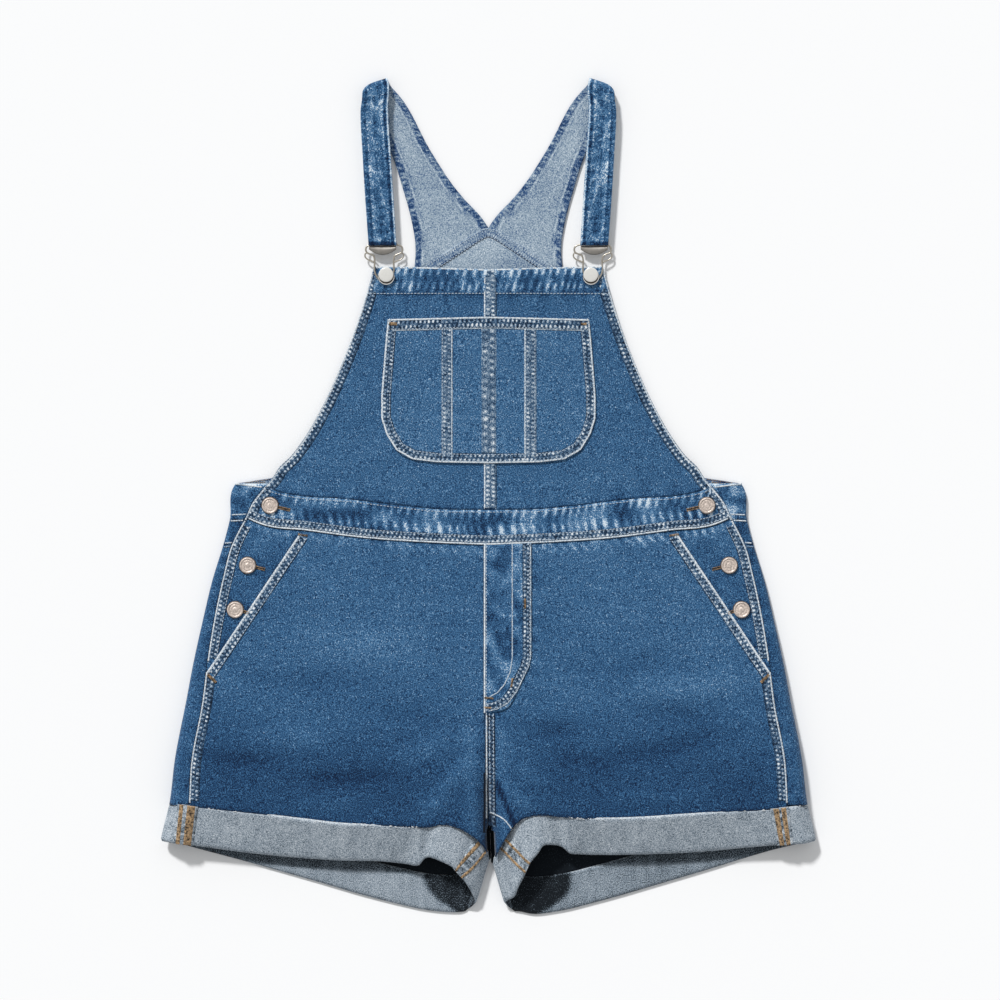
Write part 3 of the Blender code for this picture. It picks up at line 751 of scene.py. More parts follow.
band_ends = [strip(foot_line + (0, 5.2), 8.6, 0.7, 0.34, 0.42, (0, 0), BAND_LIFT),
             edge_line(foot_line + (0, 0.6), BAND_LIFT + 0.1)]
band_rows = [stitches(seams["band_top"], BAND_LIFT + 0.2, -2.2), stitches(seams["band_foot"], BAND_LIFT + 0.8, 2.4),
             stitches(seams["band_foot"], BAND_LIFT + 0.8, 8.4)]
for side, word in SIDES:
    path = seam_x(lambda y: edge(y) - 5, 7, -24, side)
    band_ends.append(strip(path, 9.6, 0.5, 0.34, 0.4, (0, 0), BAND_LIFT))
    band_rows.append(stitches(path, BAND_LIFT + 0.7, 4.0 * side))
    band_ends.append(edge_line(seam_x(lambda y: edge(y) - 0.7, 8, -26, side), BAND_LIFT + 0.1))
band_bands = add_joined("waistband_seams", band_ends, [denim_hem])
band_thread = add_joined("waistband_stitches", band_rows, [thread_pale])

# %% Fly
FLY_LEFT = -4.4
FLY_RIGHT = 43.4
FLY_FOOT = ((-4.4, -217), (5, -215.5), (21, -209), (29, -196), (36, -177), (43.4, -159))
x, y = between(lambda y: FLY_LEFT + 0 * y, lambda y: FLY_RIGHT + 0 * y, lambda x: curve(FLY_FOOT, x),
               lambda x: curve(BAND_FOOT, np.abs(x)) - 0.3, count(56), count(190))
wave, away = ripples(x, y, seam_list("fly_edge", "fly_row", "fly_outer"), 8, 6)
wear_and_painted_shade = 0.2 * wave + 0.02 + 0.5 * (noise(x + 0.5 * y, y, 11, 15, 2) - 0.5) + 0.3 * (noise(x, y, 5, 7, 3) - 0.5)
fly_points = np.stack([x, y, top(x, y) + FLY_LIFT + 0.35 * wave], axis=-1)
fly = add_cloth("fly_cloth", fly_points, 1.0, [denim_face], wear_and_painted_shade, ("fly",))
fly_seams = [strip(inset(FLY_OUTER, -5), 8.0, 0.6, 0.32, 0.4, (0, 0), FLY_LIFT),
             edge_line([(FLY_LEFT + 0.7, -48), (FLY_LEFT + 0.7, -216)], FLY_LIFT + 0.1),
             edge_line(inset(FLY_OUTER, -0.8), FLY_LIFT + 0.1, 1.2, 0.7),
             edge_line(FLY_ROW, FLY_LIFT - 0.2, 1.3, 0.72)]
fly_bands = add_joined("fly_seams", fly_seams, [denim_hem])
fly_rows = [stitches(FLY_ROW, FLY_LIFT + 0.2), stitches(FLY_OUTER, FLY_LIFT + 0.2, -2),
            stitches(FLY_OUTER, FLY_LIFT + 0.2, -7.5), stitches(seams["fly_edge"], FLY_LIFT + 0.2, 2.4)]
fly_thread = add_joined("fly_stitches", fly_rows, [thread_pale])


# %% Cuff tables
CUFF_LEFT = (
    (-319.5, -307.5, 10.5, -328, -345, 11), (-310, -307.5, 21.5, -317, -346.5, 19),
    (-288, -310, 23.5, -292, -350, 16), (-238, -315, 25.5, -240, -357.5, 14),
    (-188, -321, 28, -188, -362.5, 14), (-143, -326, 29.5, -143, -365.3, 15),
    (-103, -327.5, 30, -106, -366, 15), (-78, -328.7, 30, -84, -368.5, 14),
    (-66, -329.3, 28, -69.5, -369, 19), (-58, -329, 27, -62.5, -361, 22),
    (-50, -327, 28, -54, -361.5, 28), (-44, -326.6, 28, -45, -365, 28),
    (-35, -328.3, 28, -38, -368.5, 27), (-19.5, -335.4, 25, -31, -376, 25),
    (-8, -344.6, 20, -22, -386.6, 21), (-2, -352.5, 15, -16.5, -396, 16),
    (1.5, -362, 7.5, -12.5, -408, 8), (-5, -372, 0, -20, -415, 0),
    (-28, -379, 0, -29, -417.5, 0), (-65, -378, 0, -65, -415, 0),
    (-88, -373, 0, -88, -410, 0), (-120, -365, 0, -120, -402, 0),
    (-175, -349, 0, -175, -386, 0), (-219, -336.5, 0, -219, -373.5, 0),
    (-255, -326.5, 0, -255, -363.5, 0), (-291, -317, 0, -291, -354, 0),
    (-309, -309, 0, -317, -347, 0))
CUFF_RIGHT = (
    (319.5, -308, 10.5, 328, -345, 11), (310, -309, 21.5, 317.5, -347, 19),
    (280.5, -312, 24, 291.5, -349, 16), (244.5, -314, 25.5, 255, -352.5, 14),
    (201.5, -316.5, 27.5, 211.5, -356.5, 14), (156.5, -319.5, 29, 161.5, -358.7, 15),
    (116.5, -320.8, 30, 115.5, -359.5, 15), (91, -320.4, 29.5, 91.5, -359, 14),
    (77.5, -319.3, 28, 80.5, -357, 18), (68, -318.5, 27, 72.5, -350.5, 19),
    (56.5, -317.4, 28, 64, -348, 24), (48, -317.4, 28, 55, -348.6, 28),
    (41, -318.5, 28, 49.5, -356, 28), (31.5, -322.5, 27, 41.5, -366, 27),
    (24.5, -329.2, 25, 35.5, -379, 25), (17, -340, 21, 28.5, -392.5, 21),
    (9.5, -353, 15, 25, -401, 16), (4, -366, 7.5, 16, -408, 8),
    (10, -374, 0, 24, -416, 0), (28, -380, 0, 32, -417, 0),
    (45, -382, 0, 45, -419.5, 0), (68, -380, 0, 68, -417, 0),
    (112, -369.5, 0, 112, -406.5, 0), (176, -351, 0, 176, -388, 0),
    (223, -337, 0, 223, -374, 0), (255, -327, 0, 255, -364, 0),
    (290, -317, 0, 290, -354, 0), (309, -309, 0, 317, -348, 0))
CUFF_FRONT_ROWS = {-1: 17, 1: 18}
# Painted shade on the floor part of each cuff, per side: reach, from_y and fall shape the dark of the leg's inside
# at the inner end, and level shifts the tone of the whole floor part.
CUFF_SHADE = {-1: (65.5, -373, 0.0027, -0.06), 1: (82.5, -383, 0.0044, -0.15)}
CUFF_TABLE = {-1: CUFF_LEFT, 1: CUFF_RIGHT}


def cuff_edge(side, front):
    """Upper edge of a cuff as (x, y) rows, of its front or of its back."""
    rows = [(row[0], row[1]) for row in CUFF_TABLE[side]]
    where = CUFF_FRONT_ROWS[side]
    return rows[:where] if front else rows[where - 1:]


# %% Legs and hips
def front_outer(y):
    """Where a leg's front ends: at the pocket opening, and below it at the side seam."""
    return np.where(y < POCKET_END[1], edge(y), np.minimum(edge(y), pocket_line(y)))


leg_points, leg_cloth, hip_points, hip_cloth = {}, {}, {}, {}
for side, word in SIDES:
    upper = cuff_edge(side, True)
    outer = lambda y: side * (front_outer(y) - 0.15)
    middle = lambda y: curve(MIDDLE_SEAM, y) + side * (0.15 + (4.0 if side > 0 else 3.0) * ease((-324 - y) / 12))
    ends = (outer, middle) if side < 0 else (middle, outer)
    x, y = between(*ends, lambda x: curve(upper, x) - 1.0, lambda x: curve(BAND_FOOT, np.abs(x)) - 0.3,
                   count(310), count(300))
    own = ("band_foot", "pocket_" + word, "side_" + word) + (("fly_outer", "middle") if side > 0 else ("middle",))
    wave, away = ripples(x, y, seam_list(*own))
    dip = creases(x, y)
    below = curve(BAND_FOOT, np.abs(x)) - y
    # The creases' height lightens their ridges and darkens their troughs: painted light and shade. The legs also
    # darken towards the cuffs, partly painted shade and partly a deeper blue of the cloth there.
    wear_and_painted_shade = 0.3 * strokes(x - 1.2 * below, below, 6, 5, 11, 1) * (y > -90) + 0.22 * wave + 0.1 * dip - 0.19 * ease((-170 - y) / 130)
    # A dark line just above each cuff's upper edge: painted shadow of the cuff on the leg.
    wear_and_painted_shade = wear_and_painted_shade - 0.12 * np.exp(-((y - curve(upper, x)) / 2.5) ** 2)
    inseam = np.abs(x - curve(MIDDLE_SEAM, y))
    wear_and_painted_shade = wear_and_painted_shade + 0.14 * np.exp(-((inseam - 15) / 8) ** 2) * ease((-215 - y) / 30)
    if side > 0:
        # A dark line along the fold beside the crotch on the right leg: painted shade in the fold.
        fold = x - 7 - 0.42 * (-282 - y)
        wear_and_painted_shade = wear_and_painted_shade - 0.7 * np.exp(-(fold / 1.8) ** 2) * ease((-280 - y) / 10)
    leg_points[side] = np.stack([x, y, top(x, y) + 0.3 * wave], axis=-1)
    leg_cloth[side] = add_cloth("leg_front_" + word, leg_points[side], CLOTH,
                                [denim_face, denim_painted_shade], wear_and_painted_shade, ("front_" + word,))

    inner = lambda y: side * (pocket_line(y) + 0.15)
    rim = lambda y: side * edge(y)
    ends = (rim, inner) if side < 0 else (inner, rim)
    x, y = between(*ends, lambda x: POCKET_END[1] + 2 + 0 * x, lambda x: curve(BAND_FOOT, np.abs(x)) - 0.9,
                   count(70), count(140))
    wave, away = ripples(x, y, seam_list("pocket_" + word, "placket_" + word), 8, 6)
    below = curve(BAND_FOOT, np.abs(x)) - y
    # Within a few millimetres of each seam the hip piece is made darker: painted shade beside the raised seam bands.
    wear_and_painted_shade = 0.14 * wave - 0.1 * np.exp(-away / 4) - 0.04
    wear_and_painted_shade = wear_and_painted_shade + 0.45 * strokes(x - 0.6 * below, below, 5, 3.5, 9, 3) + 0.12 * (noise(x, y, 16, 20, 2) - 0.5)
    hip_points[side] = np.stack([x, y, top(x, y) + 0.25 * wave], axis=-1)
    hip_cloth[side] = add_cloth("hip_cloth_" + word, hip_points[side], CLOTH, [denim_face, denim_inside],
                                wear_and_painted_shade, ("hip_" + word,))

# %% Seams of the legs and hips
leg_bands, leg_thread, hip_bands, hip_thread = {}, {}, {}, {}
for side, word in SIDES:
    pocket = inset(seams["pocket_" + word], 5.2 if side < 0 else -5.2)
    pocket = pocket[pocket[:, 1] > -178]
    side_path = seam_x(lambda y: edge(y) - 5, -180, -306, side)
    opening = seams["pocket_" + word][seams["pocket_" + word][:, 1] > -177] - (side * 0.8, 0)
    bands = [strip(pocket, 9.4, 0.7, 0.36, 0.42, (0, 0), 0, 4.8),
             strip(side_path, 9.6, 0.7, 0.32, 0.4), edge_line(opening, 0.3, 2.0),
             edge_line(seam_x(lambda y: edge(y) - 0.7, -176, -307, side), 0.2)]
    rows = [stitches(pocket, 0.7, 3.2), stitches(pocket, 0.7, -3.2), stitches(side_path, 0.8, 4.2 * side)]
    if side > 0:
        bands += [strip([(2.8, -218), (3.6, -330)], 8.0, 0.6, 0.2, 0.36),
                  edge_line([(-1.8, -218), (-1.6, -322)], 0.3, 1.5, 0.85),
                  # A very dark narrow strip along the crotch: painted shade of the gap between the legs.
                  strip([(-3.8, -276), (-3.6, -300), (-4.2, -336)], 2.2, 0.1, -0.3, 0, (0, 0), 0, 4, 0),
                  edge_line(spline([(2, -316), (8, -318), (14, -321), (19, -325.5), (23, -331)], 2), 0.3, 1.4, 0.8)]
        rows += [stitches([(1.0, -218), (1.8, -320)], 0.7), stitches([(5.0, -218), (5.8, -320)], 0.7)]
    leg_bands[side] = add_joined("leg_seams_" + word, bands, [denim_hem])
    leg_thread[side] = add_joined("leg_stitches_" + word, rows, [thread_pale])
    placket = seam_x(lambda y: edge(y) - 5, -30, -164, side)
    placket = placket[np.abs(placket[:, 0]) > pocket_line(placket[:, 1]) + 2]
    hip_bands[side] = add_joined("hip_seams_" + word, [
        strip(placket, 9.4, 0.7, 0.34, 0.4), edge_line(seam_x(lambda y: edge(y) - 0.7, -25, -166, side), 0.3)],
        [denim_hem])
    hip_thread[side] = add_joined("hip_stitches_" + word, [
        stitches(placket, 0.8, 4.0 * side), stitches(placket, 0.8, -3.6 * side)], [thread_pale])

# %% [markdown]
# ## The back
# The back pieces start at the side seam on top, turn round the side fold in a
# half circle, and come home flat on the floor under the garment. So the side
# strips that show beside the front are the same cloth as the hidden back.

# %% Round the side
ON_TOP = 12
IN_FOLD = 14
UNDER = 60


def round_side(side, low, high, rows, lift=0.0):
    """Grid from the seam on top round the fold and back to the middle, with low and high edges."""
    run = np.concatenate([np.linspace(0, 1, ON_TOP + 1)[:-1], 1 + np.linspace(0, 1, IN_FOLD + 1)[:-1],
                          2 + np.linspace(0, 1, UNDER + 1)])
    u, v = np.meshgrid(run, np.linspace(0, 1, rows))
    under = u >= 2
    y = -100 + 0 * u
    for _ in range(8):
        radius = curve(SIDE_HEIGHT, y) / 2
        turn = curve(OUTLINE, y) - radius
        angle = math.pi * (np.clip(u, 1, 2) - 1)
        middle = side * np.maximum(line(MIDDLE_SEAM, y), 0) + 0.15
        x_top = mix(edge(y) + 0.6, turn, u)
        x_fold = turn + radius * np.sin(angle)
        x_under = mix(turn, middle, u - 2)
        x = np.where(u < 1, x_top, np.where(under, x_under, x_fold))
        y = mix(low(x, under), high(x, under), v)
    z_fold = radius + radius * np.cos(angle)
    z = np.where(u < 1, top(x_top, y) + lift, np.where(under, 0, z_fold))
    return side * x, y, z


def back_piece(name, node, side, low, high, rows, wall, level, lift=0.0):
    """One back piece: rippled where it shows near its seams, plain underneath."""
    x, y, z = round_side(side, low, high, rows, lift)
    lines = [seam_x(edge, 14, -307, side), seam_y(lambda x: high(np.abs(x), False) + 0 * x, -330, 330),
             seam_y(lambda x: low(np.abs(x), False) + 0 * x, -330, 330)]
    wave, away = ripples(x, y, lines, 7, 6)
    shown = z > 1
    # Within a few millimetres of each seam the back piece is made darker: painted shade beside the raised seam
    # bands.
    wear_and_painted_shade = level + 0.2 * wave - 0.12 * np.exp(-away / 4) + 0.25 * (noise(x, y, 10, 9, 2) - 0.5) * (y > -60)
    points = np.stack([x, y, z + np.where(shown & (z < top(np.abs(x), y) + 3), 0.2 * wave, 0)], axis=-1)
    made = add_cloth(name, points, wall, [denim_face, denim_painted_shade], wear_and_painted_shade, (node,), side < 0)
    return made, points


for side, word in SIDES:
    lower = cuff_edge(side, False)
    foot = lambda x, under: np.where(under, line(lower, side * x) - 1.5, line(lower, side * 309) + 0.4)
    yoke_line = lambda x, under: np.where(under, curve(YOKE_FOOT, x), -49)
    band_line = lambda x, under: np.where(under, curve(BACK_BAND_FOOT, x), -24)
    back_piece("leg_back_" + word, "back_" + word, side, foot,
                                  lambda x, under: yoke_line(x, under) - 0.3, count(270), CLOTH, -0.05)
    back_piece("yoke_cloth_" + word, "yoke_" + word, side, yoke_line,
                                          lambda x, under: band_line(x, under) - 0.3, 22, CLOTH, -0.08, 0.3)

# %% Back waistband
halves = [round_side(side, lambda x, under: np.where(under, curve(BACK_BAND_FOOT, x), -24),
                     lambda x, under: np.where(under, curve(BACK_BAND_TOP, x), 12.5), 14, 0.5) for side in (-1, 1)]
whole = [np.concatenate([left[:, :-1], right[:, ::-1]], axis=1) for left, right in zip(*halves)]
x, y, z = whole
wave, away = ripples(x, y, [seam_y(lambda x: 12 + 0 * x, -255, 255), seam_y(lambda x: -23 + 0 * x, -260, 260)], 9, 6)
wear_and_painted_shade = 0.45 * wave + 0.06 + 0.6 * np.exp(-((y - 12) / 1.3) ** 2) * (z > 1)
wear_and_painted_shade = wear_and_painted_shade + 0.55 * (noise(x, y, 9, 8, 2) - 0.5) * (z > 2) - 0.35 * (y > 9) * (z < 1)
back_band_points = np.stack([x, y, z + 0.2 * wave * (z > 3)], axis=-1)
back_band = add_cloth("back_waistband_cloth", back_band_points, BAND, [denim_face, denim_inside], wear_and_painted_shade,
                      ("waistband_back",), True)

# %% [markdown]
# ### Back bib and straps
# Between the straps the back bib shows its wrong side. It ends in a low
# inverted V, where the two straps are sewn on. Each strap lies wrong side up to
# the shoulder, folds over, and comes down right side up to its buckle.

# %% Back bib
V_SEAM = ((0, 270), (75, 224))
u, v = np.meshgrid(np.linspace(-1, 1, count(300)), np.linspace(0, 1, count(240)))
y = 100 + 0 * u
for _ in range(8):
    x = u * curve(BACK_BIB_SIDE, y)
    y = mix(curve(BACK_BAND_TOP, np.abs(x)) + 0.3, line(V_SEAM, np.abs(x)) - 0.6, v)
shade = noise(x + y, x - y, 40, 60, 1) - 0.5
wear_and_painted_shade = 0.2 * shade + 0.05 * np.exp(-((line(V_SEAM, np.abs(x)) - y) / 6) ** 2)
back_bib_points = np.stack([x, y, 0 * x], axis=-1)
back_bib = add_cloth("back_bib_cloth", back_bib_points, CLOTH, [denim_face, denim_inside], wear_and_painted_shade,
                     ("back_bib",), True)
V_LEFT = fan([(-72, 226), (-14, 264), (-6, 268.4), (0, 269.6)])
V_RIGHT = fan([(0, 269.6), (6, 268.4), (14, 264), (72, 226)])
flat_ground = lambda x, y: CLOTH + 0 * x
v_strips = [strip(inset(np.concatenate([V_LEFT, V_RIGHT[1:]]), -4.6), 10.2, 1.0, -0.16, 0.3, (-0.8, 0.6),
                  0, 2.6, 0.25, flat_ground)]
v_rows = [stitches(inset(np.concatenate([V_LEFT, V_RIGHT[1:]]), distance), CLOTH + 1.0, 0, ground=lambda x, y: 0 * x)
          for distance in (-1.4, -9.0)]
v_band = add_joined("back_seam", v_strips, [denim_inside])
v_thread = add_joined("back_seam_stitches", v_rows, [thread_pale])


# %% Straps
STRAP = 2.0
STRAP_BACK = (
    (0.3, 269.7, 75, 224.3), (10, 284, 72.5, 248), (21, 294, 75, 266), (31, 306, 80, 289),
    (41, 319, 86.5, 310), (51, 335, 92.5, 331), (61, 351, 98.5, 346), (69, 367, 106, 364),
    (77, 383, 113.5, 383), (87, 400, 121, 397))
STRAP_FOLD = (99.8, 413.5, 127, 405)
STRAP_FRONT = ((100.5, 390, 128, 385), (98, 345, 126, 342), (95, 298, 123.3, 297), (92, 251, 120, 251))
FOLD_RADIUS = 6.0
FOLD_AIM = (0.28, 0.96)
STRAP_END_HEIGHT = 10.3


def strap_rows():
    """Rows across a strap: x, y at the inner edge, x, y at the outer edge, and z."""
    rows = [(*row, 0) for row in STRAP_BACK]
    for turn in np.linspace(0, math.pi, 9):
        reach = FOLD_RADIUS * math.sin(turn)
        x0, y0, x1, y1 = STRAP_FOLD
        rows.append((x0 + FOLD_AIM[0] * reach, y0 + FOLD_AIM[1] * reach, x1 + FOLD_AIM[0] * reach,
                     y1 + FOLD_AIM[1] * reach, FOLD_RADIUS * (1 - math.cos(turn))))
    for number, row in enumerate(STRAP_FRONT):
        share = (number + 1) / len(STRAP_FRONT)
        rows.append((*row, mix(2 * FOLD_RADIUS, STRAP_END_HEIGHT, share)))
    rows = spline(rows, 2.2)
    flat = np.flatnonzero(rows[:, 4] < 0.01)[-1]
    for _ in range(60):
        rows[1:flat] = (rows[:flat - 1] + 2 * rows[1:flat] + rows[2:flat + 1]) / 4
    return rows


strap_points, strap_cloth = {}, {}
for side, word in SIDES:
    rows = strap_rows()
    u = np.linspace(0, 1, 29)
    x = mix(rows[:, :1], rows[:, 2:3], u)
    y = mix(rows[:, 1:2], rows[:, 3:4], u)
    z = rows[:, 4:5] + 0 * u
    turned = np.exp(-((y - 412) / 6) ** 2) * u ** 5
    x, y = x - 3.5 * turned, y - 3.5 * turned
    steps = np.concatenate([[0], np.cumsum(np.hypot(*np.diff(rows[:, :2], axis=0).T))])[:, None] + 0 * u
    wide = np.hypot(rows[:, 2] - rows[:, 0], rows[:, 3] - rows[:, 1])[:, None] + 0 * u
    rim = np.minimum(u, 1 - u) * wide
    on_back = z < 3
    w = u * wide
    ridge = noise(steps + 6 * u, w + 50 * side, 3.6, 5, 1) + 0.6 * noise(steps, w, 2.2, 3, 3) - 0.8
    dots = (0.5 + 0.5 * np.cos(2 * math.pi * steps / 4.3 + 3 * noise(steps, w, 30, 4, 2))) ** 1.5
    band = np.exp(-(np.maximum(rim - 6.5, 0) / 1.2) ** 2)
    worn_back = -0.3 * band + 0.4 * ridge * band + 0.55 * (dots - 0.4) * np.exp(-((rim - 3.6) / 1.7) ** 2) + 0.25 * np.exp(-((rim - 8.6) / 0.7) ** 2)
    worn_back = worn_back - 0.12 * np.exp(-((rim - 10) / 1.5) ** 2) + 0.15 * (noise(steps, w, 40, 9, 2) - 0.5)
    thin_band = np.exp(-(np.maximum(rim - 5, 0) / 0.8) ** 2)
    streak = noise(steps, w, 40, 3.2, 2) - 0.5
    bent = np.abs(2 * noise(steps - 2.2 * w, w + 0.25 * steps, 42, 9, 3) - 1)
    crease = np.exp(-(bent / 0.12) ** 2)
    inner_edge = np.exp(-((w - 0.8) / 1.0) ** 2)
    outer_edge = np.exp(-((1 - u) * wide / 1.0) ** 2)
    dark_line = np.exp(-((w - 3.0) / 0.8) ** 2)
    row = np.exp(-((rim - 6.2) / 1.0) ** 2) + np.exp(-((rim - 2.4) / 0.9) ** 2)
    worn_front = (1 - thin_band) * (0.35 * streak + 0.35 * ridge + 0.3 * crease + 0.04)
    worn_front = worn_front + thin_band * (0.4 * ridge - 0.14) + 0.4 * dots * row
    worn_front = worn_front + 0.8 * inner_edge + 0.3 * outer_edge - 0.3 * dark_line
    wear_and_painted_shade = np.where(on_back, worn_back, worn_front)
    swell = 0.5 * thin_band + 0.35 * ridge + 0.6 * crease * (1 - thin_band)
    up = np.where(on_back, 0.3 * ridge * band, swell - 0.5)
    last = np.where(np.arange(len(rows))[:, None] > len(rows) - 4, -0.4, 0)
    strap_points[side] = np.stack([side * x, y, z + np.where(z < 0.1, np.maximum(up, 0), up * (z > 6))], axis=-1)
    strap_cloth[side] = add_cloth("strap_cloth_" + word, strap_points[side], STRAP, [denim_face, denim_inside],
                                  wear_and_painted_shade + last, ("strap_" + word,), side > 0)

# %% [markdown]
# ## Cuffs
# The legs are turned up twice, so the pale wrong side shows. A cuff is a closed
# ring of thick cloth: a smooth curve is laid through the tables of its upper
# edge and its hem, and a rounded section is carried along it.

# %% Cuffs
CUFF_WALL = 3.5
CUFF_PIECE = 2.4
cuff_points, cuff_cloth, cuff_ring = {}, {}, {}
for side, word in SIDES:
    ring = spline(CUFF_TABLE[side], CUFF_PIECE, closed=True)
    up, hem = ring[:, None, :3], ring[:, None, 3:]
    across = np.linspace(0, 1, 19)[None, :, None]
    face = mix(hem, up, across)
    ahead = np.roll(ring[:, 3:], -1, axis=0) - np.roll(ring[:, 3:], 1, axis=0)
    inward = np.cross(ahead, (ring[:, :3] - ring[:, 3:])) * side
    inward = (inward / np.linalg.norm(inward, axis=1)[:, None])[:, None]
    along = (np.arange(len(ring)) * CUFF_PIECE)[:, None]
    v = across[..., 0]
    wide = np.linalg.norm(up - hem, axis=2)
    ripple = noise(along, v * wide, 7, 12, 1) + 0.6 * noise(along, v * wide, 3.5, 6, 3) - 0.8
    near_top = np.exp(-((1 - v) * wide / 5) ** 2)
    near_hem = np.exp(-(v * wide / 4) ** 2)
    swell = 0.5 * ripple * near_top + 0.35 * ripple * near_hem + 1.2 * (noise(along, v * wide, 45, 30, 2) - 0.5)
    round_off = 0.5 * CUFF_WALL * (1 - np.sqrt(1 - np.clip(2 * np.abs(v - 0.5), 0, 0.999) ** 24))
    flat = np.clip(face[..., 2] / 6, 0, 1)
    outer_face = face - inward * (swell * flat - round_off)[..., None]
    inner_face = face + inward * (CUFF_WALL - round_off)[..., None]
    loop = np.concatenate([outer_face, inner_face[:, ::-1]], axis=1)
    loop[..., 2] = np.maximum(loop[..., 2], 0)
    cuff_wear_and_painted_shade = 0.3 * near_top * (1 - v) ** 0 * np.exp(-((1 - v) * wide / 1.3) ** 2) + 0.12 * ripple
    # The first term darkens the cuff along its hem: painted shade where the fold turns under.
    cuff_wear_and_painted_shade = cuff_wear_and_painted_shade - 0.12 * np.exp(-v * wide / 2) - 0.1 * np.exp(-(((1 - v) * wide - 3.2) / 1.0) ** 2)
    on_floor = np.clip(1 - face[..., 2] / 3, 0, 1)
    # Painted shade on the floor part of the cuff: the dark inside of the leg near its inner end, and the front hem's
    # shadow in a band just under it.
    reach, from_y, fall, level = CUFF_SHADE[side]
    inside_leg_painted_shade = reach - fall * np.maximum(0, from_y - face[..., 1]) ** 2.5 - np.abs(face[..., 0])
    front = np.array(CUFF_TABLE[side], float)[:CUFF_FRONT_ROWS[side], 3:5]
    front = front[np.argsort(front[:, 0])]
    hem_painted_shadow = ease((face[..., 1] - np.interp(face[..., 0], *front.T) + 12) / 4)
    shade = np.maximum(0.55 * ease(inside_leg_painted_shade / 11 + 0.5), (0.28 - 0.04 * side) * hem_painted_shadow)
    cuff_wear_and_painted_shade = cuff_wear_and_painted_shade + (level - shade) * on_floor
    # The inner face of the ring, where it stands off the floor, is made 0.5 darker: painted shade inside the cuff.
    wear_and_painted_shade = np.concatenate([cuff_wear_and_painted_shade, cuff_wear_and_painted_shade[:, ::-1] + np.where(face[..., 2] < 2, 0.0, -0.5)[:, ::-1]], axis=1)
    cuff_ring[side] = ring
    columns = loop.shape[1]
    faces = grid_faces(len(ring) + 1, columns, loop=True) % (len(ring) * columns)
    cuff_points[side] = np.concatenate([face, face[:1]])
    made = add_mesh("cuff_cloth_" + word, loop, faces, [denim_cuff], wear_and_painted_shade, ("cuff_" + word,))
    work = bmesh.new()
    work.from_mesh(made.data)
    bmesh.ops.recalc_face_normals(work, faces=work.faces)
    work.to_mesh(made.data)
    work.free()
    cuff_cloth[side] = made
    print("cuff", word, len(ring), "sections")


# %% Bands and frayed edges on the cuffs
def cuff_place(side, row, share, lift):
    """Point of a cuff's outer face at a table row, which may be a fraction, and share from hem to edge."""
    table = np.array(CUFF_TABLE[side], float)
    run = np.concatenate([[0], np.cumsum(np.linalg.norm(np.diff(table, axis=0), axis=1))])
    place = np.interp(row, np.arange(len(table)), run) / CUFF_PIECE
    ring = cuff_ring[side]
    at = np.stack([np.interp(place, np.arange(len(ring)), column) for column in ring.T], axis=-1)
    ahead = np.stack([np.interp(place + 1, np.arange(len(ring)), column) for column in ring.T], axis=-1) - at
    outward = -side * np.cross(ahead[..., 3:], at[..., :3] - at[..., 3:])
    outward = outward / np.linalg.norm(outward, axis=-1)[..., None]
    return mix(at[..., 3:], at[..., :3], np.asarray(share)[..., None]) + lift * outward, outward


def cuff_band(side, edge_rows, hem_rows, low, high, lift, level, contrast):
    """A closed band over a cuff from hem to edge, between two shares of its width, mottled."""
    v, u = np.meshgrid(np.linspace(0.0, 1.0, 30), np.linspace(low, high, 7), indexing="ij")
    row = mix(mix(*hem_rows, u), mix(*edge_rows, u), v)
    ridge = noise(v * 42 + 90 * side, u * 12, 2.4, 2.5, 1) - 0.5
    rounded = 1 - (2 * (u - low) / (high - low) - 1) ** 4
    upper, _ = cuff_place(side, row, v, 0)
    _, outward = cuff_place(side, row, v, 0)
    face = upper + outward * (0.15 + lift * rounded + 0.3 * ridge * rounded)[..., None]
    under = upper - outward * 0.6
    loop = np.concatenate([face, under[:, ::-1]], axis=1)
    rows, columns = loop.shape[:2]
    faces = grid_faces(rows, columns, loop=True).tolist()
    faces.append(list(range(columns)))
    faces.append(list(range(rows * columns - 1, (rows - 1) * columns - 1, -1)))
    wear_and_painted_shade = level + contrast * np.concatenate([ridge, ridge[:, ::-1]], axis=1)
    return loop.reshape(-1, 3), faces, wear_and_painted_shade.ravel()


THIN_ROWS = ((0.0, 0.24), (0.76, 1.0))
CUFF_SEAMS = {
    -1: (((1.1, 1.85), (1.2, 1.82), ((0.0, 0.3), (0.42, 1.0))), ((13.8, 15.2), (12.6, 13.5), THIN_ROWS)),
    1: (((1.92, 1.44), (2.05, 1.57), ((0.04, 0.5), (0.56, 0.96))), ((15.9, 15.0), (13.8, 12.9), THIN_ROWS))}
for side, word in SIDES:
    cloth_bands, tan_bands = [], []
    for edge_rows, hem_rows, rows_of_tan in CUFF_SEAMS[side]:
        cloth_bands.append(cuff_band(side, edge_rows, hem_rows, -0.12, 1.12, 0.6, -0.06, 0.9))
        for low, high in rows_of_tan:
            tan_bands.append(cuff_band(side, edge_rows, hem_rows, low, high, 1.1, 0, 0))
    random = np.random.default_rng(5 + side)
    row = np.sort(random.uniform(0.3, CUFF_FRONT_ROWS[side] - 2.5, 260))
    share = 1.0 - random.uniform(0, 0.035, len(row))
    centre, outward = cuff_place(side, row, share, 0.15)
    ahead, _ = cuff_place(side, row + 0.02, share + random.uniform(-0.003, 0.003, len(row)), 0.15)
    keep = noise(row * 30, row, 5, 9, 1) > 0.55
    fray = laid_capsules(centre[keep], (ahead - centre)[keep], outward[keep],
                         random.uniform(1.0, 3.4, len(row))[keep], 0.6)
    add_joined("cuff_bands_" + word, cloth_bands, [denim_cuff])
    add_joined("cuff_stitching_" + word, tan_bands, [thread_tan])
    add_joined("cuff_fray_" + word, [fray], [thread_white])

